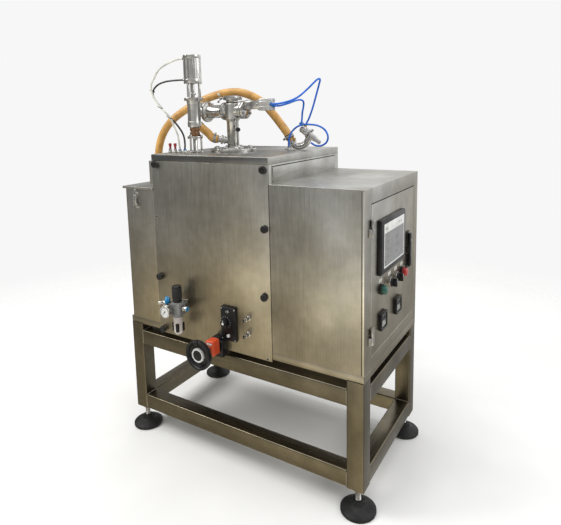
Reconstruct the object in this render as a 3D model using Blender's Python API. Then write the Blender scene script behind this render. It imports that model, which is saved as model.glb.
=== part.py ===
"""Piston liquid filler on a square-tube stand.

Metres, +Z up. Every number is measured from the stand: X from its left face, Y from its front
face, Z from the floor. All pieces hang on one empty that puts the machine's middle at the origin.
"""
import math

import bmesh
import bpy
import numpy as np
from mathutils import Matrix, Vector

for old in list(bpy.data.objects):
    bpy.data.objects.remove(old, do_unlink=True)

# ---- driving dimensions ----
GAP = 0.0003                      # left between pieces that touch
SHEET = 0.002                     # cabinet sheet
TUBE = 0.050                      # square tube of the stand
TUBE_WALL = 0.002
STAND_WIDTH = 0.860
STAND_DEPTH = 0.460
LEG_BOTTOM = 0.075
LEG_TOP = 0.390
LOWER_RAIL = 0.077
UPPER_RAIL = 0.316
FOOT_RADIUS = 0.050
WHEEL_FRONT = -0.125              # front of the handwheel

TRAY_TOP = 0.412
CABINET_LEFT, CABINET_RIGHT = 0.138, 0.580
CABINET_SKIN_TOP = 0.958
PLATE_TOP = 0.979
PANEL_BOTTOM = 0.383
COVER_BOTTOM = 0.8805
BOX_TOP = 0.904
TANK_LEFT = 0.012
TANK_TOP = 0.862
LID_THICK = 0.008

DOOR_Y = (0.0485, 0.4185)
DOOR_Z = (0.4455, 0.8605)
DOOR_DEPTH = 0.015
DOOR_PIVOT = (STAND_WIDTH + 0.0065, 0.042)
HINGE_Z = (0.486, 0.778)
HINGE_LENGTH = 0.044

STROKE_AXIS = (0.397, 0.409)      # x and z of the stroke screw
SCREW_RADIUS = 0.007
SPEED_PLATE_X = (0.4030, 0.4590)
SPEED_PLATE_Z = (0.419, 0.524)
PUMP_XY = (0.328, 0.188)
VALVE_XY = (0.240, 0.100)
CROSS_Z = 1.110

CENTRE_X = STAND_WIDTH / 2
CENTRE_Y = (WHEEL_FRONT + STAND_DEPTH - TUBE / 2 + FOOT_RADIUS) / 2

origin = bpy.data.objects.new("machine_origin", None)
origin.location = (-CENTRE_X, -CENTRE_Y, 0)
bpy.context.collection.objects.link(origin)


# ---- materials ----
def material(name, colour, roughness=0.4, metallic=0.0):
    made = bpy.data.materials.new(name)
    made.use_nodes = True
    shader = made.node_tree.nodes["Principled BSDF"]
    shader.inputs["Base Color"].default_value = (*colour, 1)
    shader.inputs["Roughness"].default_value = roughness
    shader.inputs["Metallic"].default_value = metallic
    return made


LOOKS = {
    "stainless": ((0.60, 0.59, 0.56), 0.35, 1.0),
    "polished": ((0.70, 0.69, 0.67), 0.18, 1.0),
    "black": ((0.02, 0.02, 0.02), 0.45, 0.0),
    "rubber": ((0.03, 0.03, 0.03), 0.7, 0.0),
    "green": ((0.0, 0.25, 0.12), 0.35, 0.0),
    "red": ((0.6, 0.02, 0.02), 0.35, 0.0),
    "orange": ((0.75, 0.10, 0.03), 0.4, 0.0),
    "amber": ((0.55, 0.30, 0.08), 0.35, 0.0),
    "blue": ((0.01, 0.12, 0.65), 0.25, 0.0),
    "clear": ((0.75, 0.78, 0.74), 0.15, 0.0),
    "grey": ((0.45, 0.45, 0.45), 0.5, 0.0),
}


# ---- shape helpers ----
def new_object(name, mesh):
    made = bpy.data.objects.new(name, mesh)
    bpy.context.collection.objects.link(made)
    return made


def from_bmesh(name, bm):
    bmesh.ops.recalc_face_normals(bm, faces=bm.faces)
    mesh = bpy.data.meshes.new(name)
    bm.to_mesh(mesh)
    bm.free()
    return new_object(name, mesh)


def block(x, y, z, name="block"):
    """A box from three (low, high) pairs."""
    bm = bmesh.new()
    bmesh.ops.create_cube(bm, size=1)
    size = [high - low for low, high in (x, y, z)]
    middle = [(high + low) / 2 for low, high in (x, y, z)]
    bmesh.ops.scale(bm, verts=bm.verts, vec=size)
    bmesh.ops.translate(bm, verts=bm.verts, vec=middle)
    return from_bmesh(name, bm)


def turned(profile, base, direction=(0, 0, 1), sides=20, name="turned"):
    """A solid of revolution: profile is (radius, height) pairs along direction from base."""
    bm = bmesh.new()
    rings = []
    for radius, height in profile:
        if radius == 0:
            rings.append([bm.verts.new((0, 0, height))])
            continue
        ring = []
        for i in range(sides):
            angle = math.tau * i / sides
            ring.append(bm.verts.new((radius * math.cos(angle), radius * math.sin(angle), height)))
        rings.append(ring)
    closed = profile[0][0] > 0 and profile[-1][0] > 0
    pairs = list(zip(rings, rings[1:]))
    if closed:
        pairs.append((rings[-1], rings[0]))
    for low, high in pairs:
        for i in range(sides):
            j = (i + 1) % sides
            corners = [low[i % len(low)], low[j % len(low)], high[j % len(high)], high[i % len(high)]]
            bm.faces.new(list(dict.fromkeys(corners)))
    turn = Vector((0, 0, 1)).rotation_difference(Vector(direction)).to_matrix().to_4x4()
    bmesh.ops.transform(bm, matrix=Matrix.Translation(base) @ turn, verts=bm.verts)
    return from_bmesh(name, bm)


def rod(radius, start, end, sides=16, name="rod"):
    """A plain round bar between two points."""
    axis = Vector(end) - Vector(start)
    return turned([(0, 0), (radius, 0), (radius, axis.length), (0, axis.length)],
                  start, axis, sides, name)


def combine(base, tools, operation="UNION"):
    """Join the tools to the base, or cut them out of it, and take the result as the mesh."""
    for tool in tools:
        boolean = base.modifiers.new("combine", "BOOLEAN")
        boolean.operation = operation
        boolean.solver = "EXACT"
        boolean.object = tool
    graph = bpy.context.evaluated_depsgraph_get()
    graph.update()
    mesh = bpy.data.meshes.new_from_object(base.evaluated_get(graph))
    base.modifiers.clear()
    base.data = mesh
    for tool in tools:
        bpy.data.objects.remove(tool, do_unlink=True)
    return base


def cut(base, *tools):
    return combine(base, tools, "DIFFERENCE")


def join(base, *tools):
    return combine(base, tools, "UNION")


def piece(shape, name, look, pivot=(0, 0, 0), parent=None):
    """Name a finished shape, give it its material and put its origin on its pivot."""
    colour, roughness, metallic = LOOKS[look]
    shape.name = name
    shape.data.name = name
    shape.data.transform(Matrix.Translation(-Vector(pivot)))
    shape.data.materials.clear()
    shape.data.materials.append(material(name + "_" + look, colour, roughness, metallic))
    shape.data.shade_smooth()
    shape.data.set_sharp_from_angle(angle=math.radians(30))
    shape.location = Vector(pivot) - (pivot_of(parent) if parent else Vector((0, 0, 0)))
    shape.parent = parent or origin
    return shape


def pivot_of(thing):
    """Where a piece's origin lies, measured from the stand."""
    place = Vector(thing.location)
    while thing.parent and thing.parent is not origin:
        thing = thing.parent
        place += thing.location
    return place


# ---- the stand ----
def hollow_bar(x, y, z, along):
    """A square tube between two corners, open at both ends."""
    spans = [x, y, z]
    inner = [(low + TUBE_WALL, high - TUBE_WALL) for low, high in spans]
    inner[along] = (spans[along][0] - 0.01, spans[along][1] + 0.01)
    return cut(block(*spans), block(*inner))


LEG_PLATE = 0.006
STUD_RADIUS = 0.008
SIDES = {"left": (0, TUBE), "right": (STAND_WIDTH - TUBE, STAND_WIDTH)}
ENDS = {"front": (0, TUBE), "back": (STAND_DEPTH - TUBE, STAND_DEPTH)}


def leg(x, y, name):
    middle = (sum(x) / 2, sum(y) / 2)
    outer = block(x, y, (LEG_BOTTOM, LEG_TOP))
    hollow = block((x[0] + TUBE_WALL, x[1] - TUBE_WALL), (y[0] + TUBE_WALL, y[1] - TUBE_WALL),
                   (LEG_BOTTOM + LEG_PLATE, LEG_TOP + 0.01))
    hole = rod(STUD_RADIUS + GAP, (*middle, LEG_BOTTOM - 0.01), (*middle, LEG_BOTTOM + 0.01), 16)
    return piece(cut(outer, hollow, hole), name, "stainless")


def levelling_foot(x, y, name):
    """Round pad, neck, lock nut and the stud that screws into the leg, turned as one."""
    profile = [(0, 0), (FOOT_RADIUS, 0), (FOOT_RADIUS, 0.009), (0.022, 0.021), (0.014, 0.034),
               (STUD_RADIUS, 0.034), (STUD_RADIUS, 0.062), (0.0135, 0.062), (0.0135, 0.0745),
               (STUD_RADIUS, 0.0745), (STUD_RADIUS, 0.100), (0, 0.100)]
    middle = (sum(x) / 2, sum(y) / 2)
    piece(turned(profile, (*middle, 0), sides=20), name, "black", pivot=(*middle, 0))


for side, x in SIDES.items():
    for end, y in ENDS.items():
        leg(x, y, f"leg_{end}_{side}")
        levelling_foot(x, y, f"levelling_foot_{end}_{side}")

for level, bottom in (("lower", LOWER_RAIL), ("upper", UPPER_RAIL)):
    height = (bottom, bottom + TUBE)
    for end, y in ENDS.items():
        between = (TUBE + GAP, STAND_WIDTH - TUBE - GAP)
        piece(hollow_bar(between, y, height, 0), f"{level}_rail_{end}", "stainless")
    for side, x in SIDES.items():
        between = (TUBE + GAP, STAND_DEPTH - TUBE - GAP)
        piece(hollow_bar(x, between, height, 1), f"{level}_rail_{side}", "stainless")


# ---- base tray with the slot for the stroke screw ----
tray_front = SHEET + GAP
tray = block((0, STAND_WIDTH), (tray_front, STAND_DEPTH - GAP), (LEG_TOP + GAP, TRAY_TOP - GAP))
tray_hollow = block((SHEET, STAND_WIDTH - SHEET), (tray_front + SHEET, STAND_DEPTH - GAP - SHEET),
                    (LEG_TOP - 0.01, TRAY_TOP - GAP - SHEET))
screw_slot = block((STROKE_AXIS[0] - 0.026, STROKE_AXIS[0] + 0.026), (-0.01, 0.31),
                   (LEG_TOP - 0.01, TRAY_TOP + 0.01))
piece(cut(tray, tray_hollow, screw_slot), "base_tray", "stainless")


# ---- centre cabinet ----
skin_y = (SHEET + GAP, STAND_DEPTH)
skin_z = (TRAY_TOP, CABINET_SKIN_TOP - GAP)
front_lip = 0.016
housing = block((CABINET_LEFT + GAP, CABINET_RIGHT), skin_y, skin_z)
housing_inside = block((CABINET_LEFT + GAP + SHEET, CABINET_RIGHT - SHEET),
                       (skin_y[0] + SHEET, skin_y[1] - SHEET), (skin_z[0] - 0.01, skin_z[1] + 0.01))
housing_front = block((CABINET_LEFT + front_lip, CABINET_RIGHT - front_lip), (-0.01, 0.01),
                      (skin_z[0] - 0.01, skin_z[1] + 0.01))
cut(housing, housing_inside, housing_front)
cover_x = (0.124, CABINET_LEFT + 0.001)     # shallow side cover above the tank
cover = cut(block(cover_x, (SHEET + GAP, 0.454), (COVER_BOTTOM, CABINET_SKIN_TOP - GAP)),
            block((cover_x[0] + SHEET, cover_x[1] + 0.01), (0.0043, 0.452), (COVER_BOTTOM - 0.01, 0.955)))
piece(join(housing, cover), "centre_housing", "stainless")

top_plate = block((CABINET_LEFT, CABINET_RIGHT), (0, STAND_DEPTH), (CABINET_SKIN_TOP, PLATE_TOP))
plate_hollow = block((CABINET_LEFT + SHEET, CABINET_RIGHT - SHEET), (SHEET, STAND_DEPTH - SHEET),
                     (CABINET_SKIN_TOP - 0.01, PLATE_TOP - SHEET))
product_hole = rod(0.018, (*PUMP_XY, PLATE_TOP - 0.01), (*PUMP_XY, PLATE_TOP + 0.01))
piece(cut(top_plate, plate_hollow, product_hole), "top_plate", "stainless")

panel = block((CABINET_LEFT, CABINET_RIGHT - 0.001), (0, SHEET), (PANEL_BOTTOM, CABINET_SKIN_TOP - GAP))
bearing_y = (-0.026, SHEET / 2)
bearing_low = block((STROKE_AXIS[0] - 0.019, STROKE_AXIS[0] + 0.021), bearing_y,
                    (STROKE_AXIS[1] - 0.0415, SPEED_PLATE_Z[0] - 0.001))
bearing_high = block((STROKE_AXIS[0] - 0.019, SPEED_PLATE_X[0] - 0.0006), bearing_y,
                     (STROKE_AXIS[1] - 0.010, STROKE_AXIS[1] + 0.018))
join(panel, bearing_low, bearing_high)
shaft_hole = rod(SCREW_RADIUS + GAP, (STROKE_AXIS[0], -0.04, STROKE_AXIS[1]),
                 (STROKE_AXIS[0], 0.01, STROKE_AXIS[1]), 16)
piece(cut(panel, shaft_hole), "front_panel", "stainless")


# ---- product tank with its lid and latch ----
LID_RIGHT = 0.1232
LID_PIVOT = (0.1205, TANK_TOP + 0.0135)     # x and z of the lid hinge, along the tank's right edge
KNUCKLE = 0.004
KNUCKLE_LENGTH = 0.016
HINGE_Y = (0.034, 0.380)                    # front end of each lid hinge
OUTLET = (-0.0166, 0.188, 0.470)             # middle of the outlet elbow, left of the tank
HOSE_RADIUS = 0.0135


def hinge_knuckle(y, tab_x, root_x):
    """A short barrel on the lid's hinge line, its tab, and the tab's root in the sheet below."""
    y = (y, y + KNUCKLE_LENGTH)
    barrel = rod(KNUCKLE, (LID_PIVOT[0], y[0], LID_PIVOT[1]), (LID_PIVOT[0], y[1], LID_PIVOT[1]), 12)
    sheet_top = TANK_TOP + LID_THICK
    tab = block(tab_x, y, (sheet_top + 0.0008, LID_PIVOT[1]))
    return join(barrel, tab, block(root_x, y, (sheet_top - 0.001, sheet_top + 0.002)))


def product_tank():
    right = CABINET_LEFT - GAP
    body = block((TANK_LEFT, right), (0, STAND_DEPTH), (TRAY_TOP, TANK_TOP))
    inside = block((TANK_LEFT + SHEET, right - SHEET), (SHEET, STAND_DEPTH - SHEET),
                   (TRAY_TOP + SHEET, TANK_TOP + 0.01))
    cut(body, inside)
    rim = block((LID_RIGHT + GAP, right), (-0.004, STAND_DEPTH), (TANK_TOP - 0.001, TANK_TOP + LID_THICK))
    knuckles = [hinge_knuckle(y, (LID_PIVOT[0], 0.131), (0.1245, 0.131)) for y in HINGE_Y]
    catch_plate = block((0.058, 0.072), (-0.003, 0.001), (0.800, 0.852))
    ears = [block(x, (-0.0125, 0), (0.806, 0.817)) for x in ((0.0565, 0.0595), (0.0705, 0.0735))]
    pipe = rod(0.008, OUTLET, (TANK_LEFT + 0.001, *OUTLET[1:]))
    riser = rod(0.008, (OUTLET[0], OUTLET[1], OUTLET[2] - 0.011), (*OUTLET[:2], OUTLET[2] + 0.025))
    flange = rod(0.022, (TANK_LEFT - 0.006, *OUTLET[1:]), (TANK_LEFT + 0.001, *OUTLET[1:]))
    return join(body, rim, *knuckles, catch_plate, *ears, pipe, riser, flange)


def tank_lid():
    lid = block((0, LID_RIGHT), (-0.004, STAND_DEPTH), (TANK_TOP + GAP, TANK_TOP + LID_THICK))
    under = block((SHEET, LID_RIGHT - SHEET), (-0.002, STAND_DEPTH - SHEET),
                  (0.80, TANK_TOP + LID_THICK - SHEET))
    cut(lid, under)
    knuckles = [hinge_knuckle(y + KNUCKLE_LENGTH + GAP, (0.100, LID_PIVOT[0]), (0.100, 0.118))
                for y in HINGE_Y]
    catch = block((0.060, 0.070), (-0.010, -0.003), (TANK_TOP + 0.001, TANK_TOP + 0.006))
    return join(lid, *knuckles, catch)


LATCH_PIVOT = (0.065, -0.0085, 0.8115)


def lid_latch():
    lever = block((0.0600, 0.0700), (-0.0115, -0.0065), (0.8115, 0.847))
    barrel = rod(0.003, (0.0600, *LATCH_PIVOT[1:]), (0.0700, *LATCH_PIVOT[1:]), 12)
    tip = block((0.0600, 0.0700), (-0.0150, -0.0110), (0.842, 0.847))
    return join(lever, barrel, tip)


piece(product_tank(), "product_tank", "stainless")
piece(tank_lid(), "tank_lid", "stainless", pivot=(LID_PIVOT[0], 0, LID_PIVOT[1]))
piece(lid_latch(), "lid_latch", "polished", pivot=LATCH_PIVOT)


# ---- control box, its door and everything on the door ----
BOX_LEFT = CABINET_RIGHT + GAP
DOOR_FACE = STAND_WIDTH
BUTTON_Z = 0.615
BUTTON_Y = {"start_button": 0.118, "selector_left": 0.190, "selector_right": 0.245, "stop_button": 0.300}
BEZEL_OUT, BEZEL_IN = 0.0150, 0.0136
SCREEN_Y, SCREEN_Z = (0.092, 0.298), (0.659, 0.811)
METER_SIZE = 0.048
METERS = {"panel_meter_left": (0.105, 0.499), "panel_meter_right": (0.234, 0.501)}
HANDLE_YZ = (0.360, 0.669)


def door_hinge(bottom, tab_y, root_y):
    """Half of a lift-off hinge: a barrel on the door's axis, its tab and the root in the sheet."""
    z = (bottom, bottom + HINGE_LENGTH / 2 - GAP)
    barrel = rod(0.0055, (*DOOR_PIVOT, z[0]), (*DOOR_PIVOT, z[1]), 16)
    tab = block((DOOR_FACE + GAP, DOOR_PIVOT[0]), tab_y, z)
    return join(barrel, tab, block((DOOR_FACE - 0.0005, DOOR_FACE + 0.001), root_y, z))


def control_box():
    box = block((BOX_LEFT, STAND_WIDTH), (0, STAND_DEPTH), (TRAY_TOP, BOX_TOP))
    inside = block((BOX_LEFT + SHEET, STAND_WIDTH - SHEET), (SHEET, STAND_DEPTH - SHEET),
                   (TRAY_TOP + SHEET, BOX_TOP - SHEET))
    edge = 0.0015
    doorway = block((STAND_WIDTH - 0.01, STAND_WIDTH + 0.01), (DOOR_Y[0] - edge, DOOR_Y[1] + edge),
                    (DOOR_Z[0] - edge, DOOR_Z[1] + edge))
    cut(box, inside, doorway)
    return join(box, *[door_hinge(z, (0.028, 0.042), (0.028, 0.044)) for z in HINGE_Z])


def control_door():
    door = block((DOOR_FACE - DOOR_DEPTH, DOOR_FACE), DOOR_Y, DOOR_Z)
    hollow = block((0.80, DOOR_FACE - SHEET), (DOOR_Y[0] + SHEET, DOOR_Y[1] - SHEET),
                   (DOOR_Z[0] + SHEET, DOOR_Z[1] - SHEET))
    cut(door, hollow)
    bezels = [rod(BEZEL_OUT, (DOOR_FACE - 0.001, y, BUTTON_Z), (DOOR_FACE + 0.008, y, BUTTON_Z))
              for y in BUTTON_Y.values()]
    hinges = [door_hinge(z + HINGE_LENGTH / 2, (0.042, 0.058), (0.050, 0.058)) for z in HINGE_Z]
    join(door, *bezels, *hinges)
    through = (DOOR_FACE - 0.01, DOOR_FACE + 0.02)
    holes = [rod(BEZEL_IN, (through[0], y, BUTTON_Z), (through[1], y, BUTTON_Z)) for y in BUTTON_Y.values()]
    holes.append(rod(0.0065, (through[0], *HANDLE_YZ), (through[1], *HANDLE_YZ), 16))
    holes.append(block(through, (SCREEN_Y[0] + 0.008, SCREEN_Y[1] - 0.008),
                       (SCREEN_Z[0] + 0.008, SCREEN_Z[1] - 0.008)))
    for y, z in METERS.values():
        last = METER_SIZE - 0.0015
        holes.append(block(through, (y + 0.0015, y + last), (z + 0.0015, z + last)))
    return cut(door, *holes)


def door_handle():
    y, z = HANDLE_YZ
    bar = block((DOOR_FACE + 0.004, DOOR_FACE + 0.012), (y - 0.008, y + 0.008), (z - 0.053, z + 0.053))
    hub = rod(0.012, (DOOR_FACE + GAP, y, z), (DOOR_FACE + 0.006, y, z), 20)
    shaft = rod(0.006, (DOOR_FACE - 0.022, y, z), (DOOR_FACE + 0.005, y, z), 16)
    nut = rod(0.011, (DOOR_FACE - 0.010, y, z), (DOOR_FACE - SHEET - GAP, y, z), 6)
    return join(bar, hub, shaft, nut)


def touch_screen():
    front = block((DOOR_FACE + GAP, DOOR_FACE + 0.012), SCREEN_Y, SCREEN_Z)
    rear = block((DOOR_FACE - 0.036, DOOR_FACE + 0.001), (SCREEN_Y[0] + 0.0085, SCREEN_Y[1] - 0.0085),
                 (SCREEN_Z[0] + 0.0085, SCREEN_Z[1] - 0.0085))
    return join(front, rear)


def push_button(y):
    """A domed cap with the stem that passes through the door."""
    profile = [(0, -0.030), (0.008, -0.030), (0.008, -0.006), (0.013, -0.006), (0.013, 0.017),
               (0.010, 0.020), (0, 0.021)]
    return turned(profile, (DOOR_FACE, y, BUTTON_Z), (1, 0, 0))


def selector(y):
    """A round rotor with a raised grip bar across it."""
    profile = [(0, -0.030), (0.008, -0.030), (0.008, -0.006), (0.013, -0.006), (0.013, 0.012), (0, 0.012)]
    rotor = turned(profile, (DOOR_FACE, y, BUTTON_Z), (1, 0, 0))
    grip = block((DOOR_FACE + 0.010, DOOR_FACE + 0.0245), (y - 0.0035, y + 0.0035),
                 (BUTTON_Z - 0.0120, BUTTON_Z + 0.0120))
    return join(rotor, grip)


def panel_meter(y, z):
    front = block((DOOR_FACE + GAP, DOOR_FACE + 0.010), (y, y + METER_SIZE), (z, z + METER_SIZE))
    rear = block((DOOR_FACE - 0.060, DOOR_FACE + 0.001), (y + 0.002, y + METER_SIZE - 0.002),
                 (z + 0.002, z + METER_SIZE - 0.002))
    return join(front, rear)


def control_chassis():
    """Mounting plate on the box's inner wall with the controller, supply and valve block."""
    wall = BOX_LEFT + SHEET + GAP
    plate = block((wall, wall + 0.003), (0.060, 0.410), (0.450, 0.860))
    bodies = [((0.080, 0.205), (0.700, 0.800), 0.075), ((0.230, 0.330), (0.690, 0.815), 0.110),
              ((0.350, 0.390), (0.700, 0.790), 0.070), ((0.090, 0.380), (0.480, 0.525), 0.055),
              ((0.090, 0.380), (0.585, 0.632), 0.050)]
    for y, z, deep in bodies:
        join(plate, block((wall + 0.002, wall + deep), y, z))
    return plate


door_pivot = (*DOOR_PIVOT, 0)
piece(control_box(), "control_box", "stainless")
door = piece(control_door(), "control_door", "stainless", pivot=door_pivot)
piece(door_handle(), "door_handle", "black", pivot=(DOOR_FACE, *HANDLE_YZ), parent=door)
piece(touch_screen(), "touch_screen", "black", pivot=door_pivot, parent=door)
for name, y in BUTTON_Y.items():
    if name.startswith("selector"):
        shape, look = selector(y), "black"
    else:
        shape, look = push_button(y), "green" if name == "start_button" else "red"
    piece(shape, name, look, pivot=(DOOR_FACE, y, BUTTON_Z), parent=door)
for name, (y, z) in METERS.items():
    piece(panel_meter(y, z), name, "black", pivot=door_pivot, parent=door)
piece(control_chassis(), "control_chassis", "grey")


# ---- stroke adjustment: handwheel, screw, indicator and travelling stop ----
def stroke_point(y):
    return (STROKE_AXIS[0], y, STROKE_AXIS[1])


def handwheel():
    """Dished wheel of 90 mm with a short grip on its rim."""
    profile = [(0.0075, 0.002), (0.018, 0.002), (0.018, 0.010), (0.034, 0.012), (0.036, 0.004), (0.041, 0.0),
               (0.045, 0.004), (0.045, 0.014), (0.041, 0.019), (0.030, 0.019), (0.018, 0.026), (0.0075, 0.026)]
    wheel = turned(profile, stroke_point(WHEEL_FRONT + 0.005), (0, 1, 0), 32)
    grip_z = STROKE_AXIS[1] + 0.040
    grip = rod(0.007, (STROKE_AXIS[0], WHEEL_FRONT, grip_z), (STROKE_AXIS[0], WHEEL_FRONT + 0.012, grip_z), 16)
    return join(wheel, grip)


def position_indicator():
    """Counter on the screw between the wheel and the bearing."""
    x, z = STROKE_AXIS
    case = block((x - 0.015, x + 0.015), (-0.062, -0.030), (z - 0.025, z + 0.021))
    return cut(case, rod(SCREW_RADIUS + GAP, stroke_point(-0.07), stroke_point(-0.02), 16))


def stroke_stop():
    x, z = STROKE_AXIS
    nut = block((x - 0.021, x + 0.021), (0.060, 0.090), (z - 0.014, z + 0.030))
    return cut(nut, rod(SCREW_RADIUS + GAP, stroke_point(0.05), stroke_point(0.10), 16))


stroke_pivot = stroke_point(0)
piece(handwheel(), "handwheel", "black", pivot=stroke_pivot)
piece(rod(SCREW_RADIUS, stroke_point(WHEEL_FRONT + 0.006), stroke_point(0.300), 16), "stroke_screw",
      "polished", pivot=stroke_pivot)
piece(position_indicator(), "position_indicator", "orange")
piece(stroke_stop(), "stroke_stop", "black", pivot=stroke_pivot)


# ---- filter regulator on the front panel ----
REGULATOR = (0.253, -0.036)
BODY_Z = (0.472, 0.519)
GAUGE = (0.231, 0.493)
INLET_Z, OUTLET_Z = 0.506, 0.502


def filter_regulator():
    x, y = REGULATOR
    body = block((x - 0.018, x + 0.020), (y - 0.014, y + 0.018), BODY_Z)
    low, high = BODY_Z
    block_left = block((GAUGE[0] - 0.014, x - 0.015), (y - 0.014, y + 0.014), (low + 0.004, high - 0.006))
    bracket = block((x - 0.012, x + 0.012), (y + 0.015, -GAP), (BODY_Z[0] + 0.008, BODY_Z[1] - 0.004))
    bowl = turned([(0, -0.062), (0.006, -0.062), (0.013, -0.054), (0.015, -0.046), (0.015, 0.002), (0, 0.002)],
                  (x, y, BODY_Z[0]), sides=20)
    inlet = rod(0.009, (GAUGE[0] - 0.045, y, INLET_Z), (GAUGE[0] - 0.010, y, INLET_Z), 16)
    outlet = rod(0.009, (x + 0.018, y, OUTLET_Z), (x + 0.040, y, OUTLET_Z), 16)
    return join(body, block_left, bracket, bowl, inlet, outlet)


def regulator_knob():
    profile = [(0, 0), (0.014, 0), (0.0155, 0.010), (0.0155, 0.048), (0.0135, 0.053), (0, 0.053)]
    return turned(profile, (*REGULATOR, BODY_Z[1] + GAP))


def pressure_gauge():
    x, z = GAUGE
    stem_back = REGULATOR[1] - 0.014 - GAP
    profile = [(0, 0), (0.005, 0), (0.005, 0.006), (0.020, 0.006), (0.021, 0.010), (0.021, 0.022),
               (0.019, 0.024), (0, 0.024)]
    return turned(profile, (x, stem_back, z), (0, -1, 0), 28)


piece(filter_regulator(), "filter_regulator", "grey")
piece(regulator_knob(), "regulator_knob", "black", pivot=(*REGULATOR, BODY_Z[1]))
piece(pressure_gauge(), "pressure_gauge", "polished")


# ---- speed control plate ----
SPEED_KNOB = (0.421, 0.476)
speed_plate = block(SPEED_PLATE_X, (-0.010, -GAP), SPEED_PLATE_Z)
knob_hole = rod(0.004, (SPEED_KNOB[0], -0.02, SPEED_KNOB[1]), (SPEED_KNOB[0], -0.005, SPEED_KNOB[1]), 16)
piece(cut(speed_plate, knob_hole), "speed_panel", "black")
knob_profile = [(0, -0.004), (0.0035, -0.004), (0.0035, 0.0003), (0.012, 0.0003), (0.011, 0.014), (0, 0.015)]
piece(turned(knob_profile, (SPEED_KNOB[0], -0.010, SPEED_KNOB[1]), (0, -1, 0)), "speed_knob", "black",
      pivot=(SPEED_KNOB[0], -0.010, SPEED_KNOB[1]))


# ---- pump inside the cabinet ----
PUMP_BORE = 0.040
DRIVE_BORE = 0.0315
ROD_RADIUS = 0.008
PUMP_Z = (0.640, PLATE_TOP - SHEET - GAP)
DRIVE_Z = (TRAY_TOP + GAP, 0.625)
pump = [(PUMP_BORE, 0), (0.052, 0), (0.052, 0.008), (0.045, 0.008), (0.045, PUMP_Z[1] - PUMP_Z[0]),
        (0.016, PUMP_Z[1] - PUMP_Z[0]), (0.016, PUMP_Z[1] - PUMP_Z[0] - 0.010),
        (PUMP_BORE, PUMP_Z[1] - PUMP_Z[0] - 0.010)]
piece(turned(pump, (*PUMP_XY, PUMP_Z[0])), "pump_cylinder", "polished")
drive_height = DRIVE_Z[1] - DRIVE_Z[0]
drive = [(0.006, 0), (0.040, 0), (0.040, 0.012), (0.0355, 0.012), (0.0355, drive_height - 0.012),
         (0.040, drive_height - 0.012), (0.040, drive_height), (ROD_RADIUS + GAP, drive_height),
         (ROD_RADIUS + GAP, drive_height - 0.010), (DRIVE_BORE, drive_height - 0.010), (DRIVE_BORE, 0.010),
         (0.006, 0.010)]
piece(turned(drive, (*PUMP_XY, DRIVE_Z[0])), "drive_cylinder", "grey")
piston = [(0, 0.430), (DRIVE_BORE - GAP, 0.430), (DRIVE_BORE - GAP, 0.445), (ROD_RADIUS, 0.445),
          (ROD_RADIUS, 0.655), (PUMP_BORE - GAP, 0.655), (PUMP_BORE - GAP, 0.680), (0, 0.680)]
piece(turned(piston, (*PUMP_XY, 0)), "pump_piston", "polished", pivot=(*PUMP_XY, 0.430))


# ---- vertical fill valve on the top plate ----
STEM_RADIUS = 0.005
YOKE_Z = (1.155, 1.200)
CYLINDER_TOP = 1.288
JUMPER_START = Vector((0.212, 0.150, 1.070))
JUMPER_DIRECTION = Vector((0.78, 0, -0.62)).normalized()


def around(radius, count, start=0.0):
    """Points spaced evenly on a circle about the fill valve."""
    for i in range(count):
        angle = start + math.tau * i / count
        yield VALVE_XY[0] + radius * math.cos(angle), VALVE_XY[1] + radius * math.sin(angle)


def fill_valve_body():
    """Lower pipe, waist, tube and flange in one turning, on three posts, under three yoke rods."""
    foot = PLATE_TOP + GAP
    profile = [(0, foot), (0.007, foot), (0.007, 1.026), (0.015, 1.030), (0.015, 1.058), (0.0225, 1.064),
               (0.0225, 1.144), (0.0275, 1.146), (0.0275, YOKE_Z[0]), (0, YOKE_Z[0])]
    body = turned(profile, (*VALVE_XY, 0))
    ring = rod(0.0245, (*VALVE_XY, 1.026), (*VALVE_XY, 1.032))
    posts = [rod(0.0035, (x, y, foot), (x, y, 1.029), 10) for x, y in around(0.020, 3, 0.4)]
    rods = [rod(0.004, (x, y, YOKE_Z[0] - 0.002), (x, y, YOKE_Z[1]), 12) for x, y in around(0.021, 3, 0.4)]
    bend = JUMPER_START - JUMPER_DIRECTION * 0.022
    stub = rod(0.011, JUMPER_START, bend - JUMPER_DIRECTION * 0.010)
    branch = rod(0.011, bend, (*VALVE_XY, bend.z))
    join(body, ring, *posts, *rods, stub, branch)
    return cut(body, rod(STEM_RADIUS + GAP, (*VALVE_XY, 1.085), (*VALVE_XY, YOKE_Z[0] + 0.01)))


piece(fill_valve_body(), "fill_valve_body", "polished")
cylinder_core = rod(STEM_RADIUS + GAP, (*VALVE_XY, 1.19), (*VALVE_XY, 1.272))
cylinder_shell = turned([(0, YOKE_Z[1] + GAP), (0.029, YOKE_Z[1] + GAP), (0.029, CYLINDER_TOP - 0.002),
                         (0.027, CYLINDER_TOP), (0, CYLINDER_TOP)], (*VALVE_XY, 0), sides=28)
piece(cut(cylinder_shell, cylinder_core), "fill_valve_cylinder", "polished")
piece(rod(STEM_RADIUS, (*VALVE_XY, 1.090), (*VALVE_XY, 1.240), 16), "fill_valve_stem", "polished",
      pivot=(*VALVE_XY, 1.090))


# ---- cross valve and column over the pump ----
JUMPER_END = Vector((0.284, 0.1655, 1.0195))
JUMPER_END_DIRECTION = Vector((0.88, 0.45, -0.15)).normalized()
ACTUATOR_Z = 1.127
NECK_END = 0.443


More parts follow.
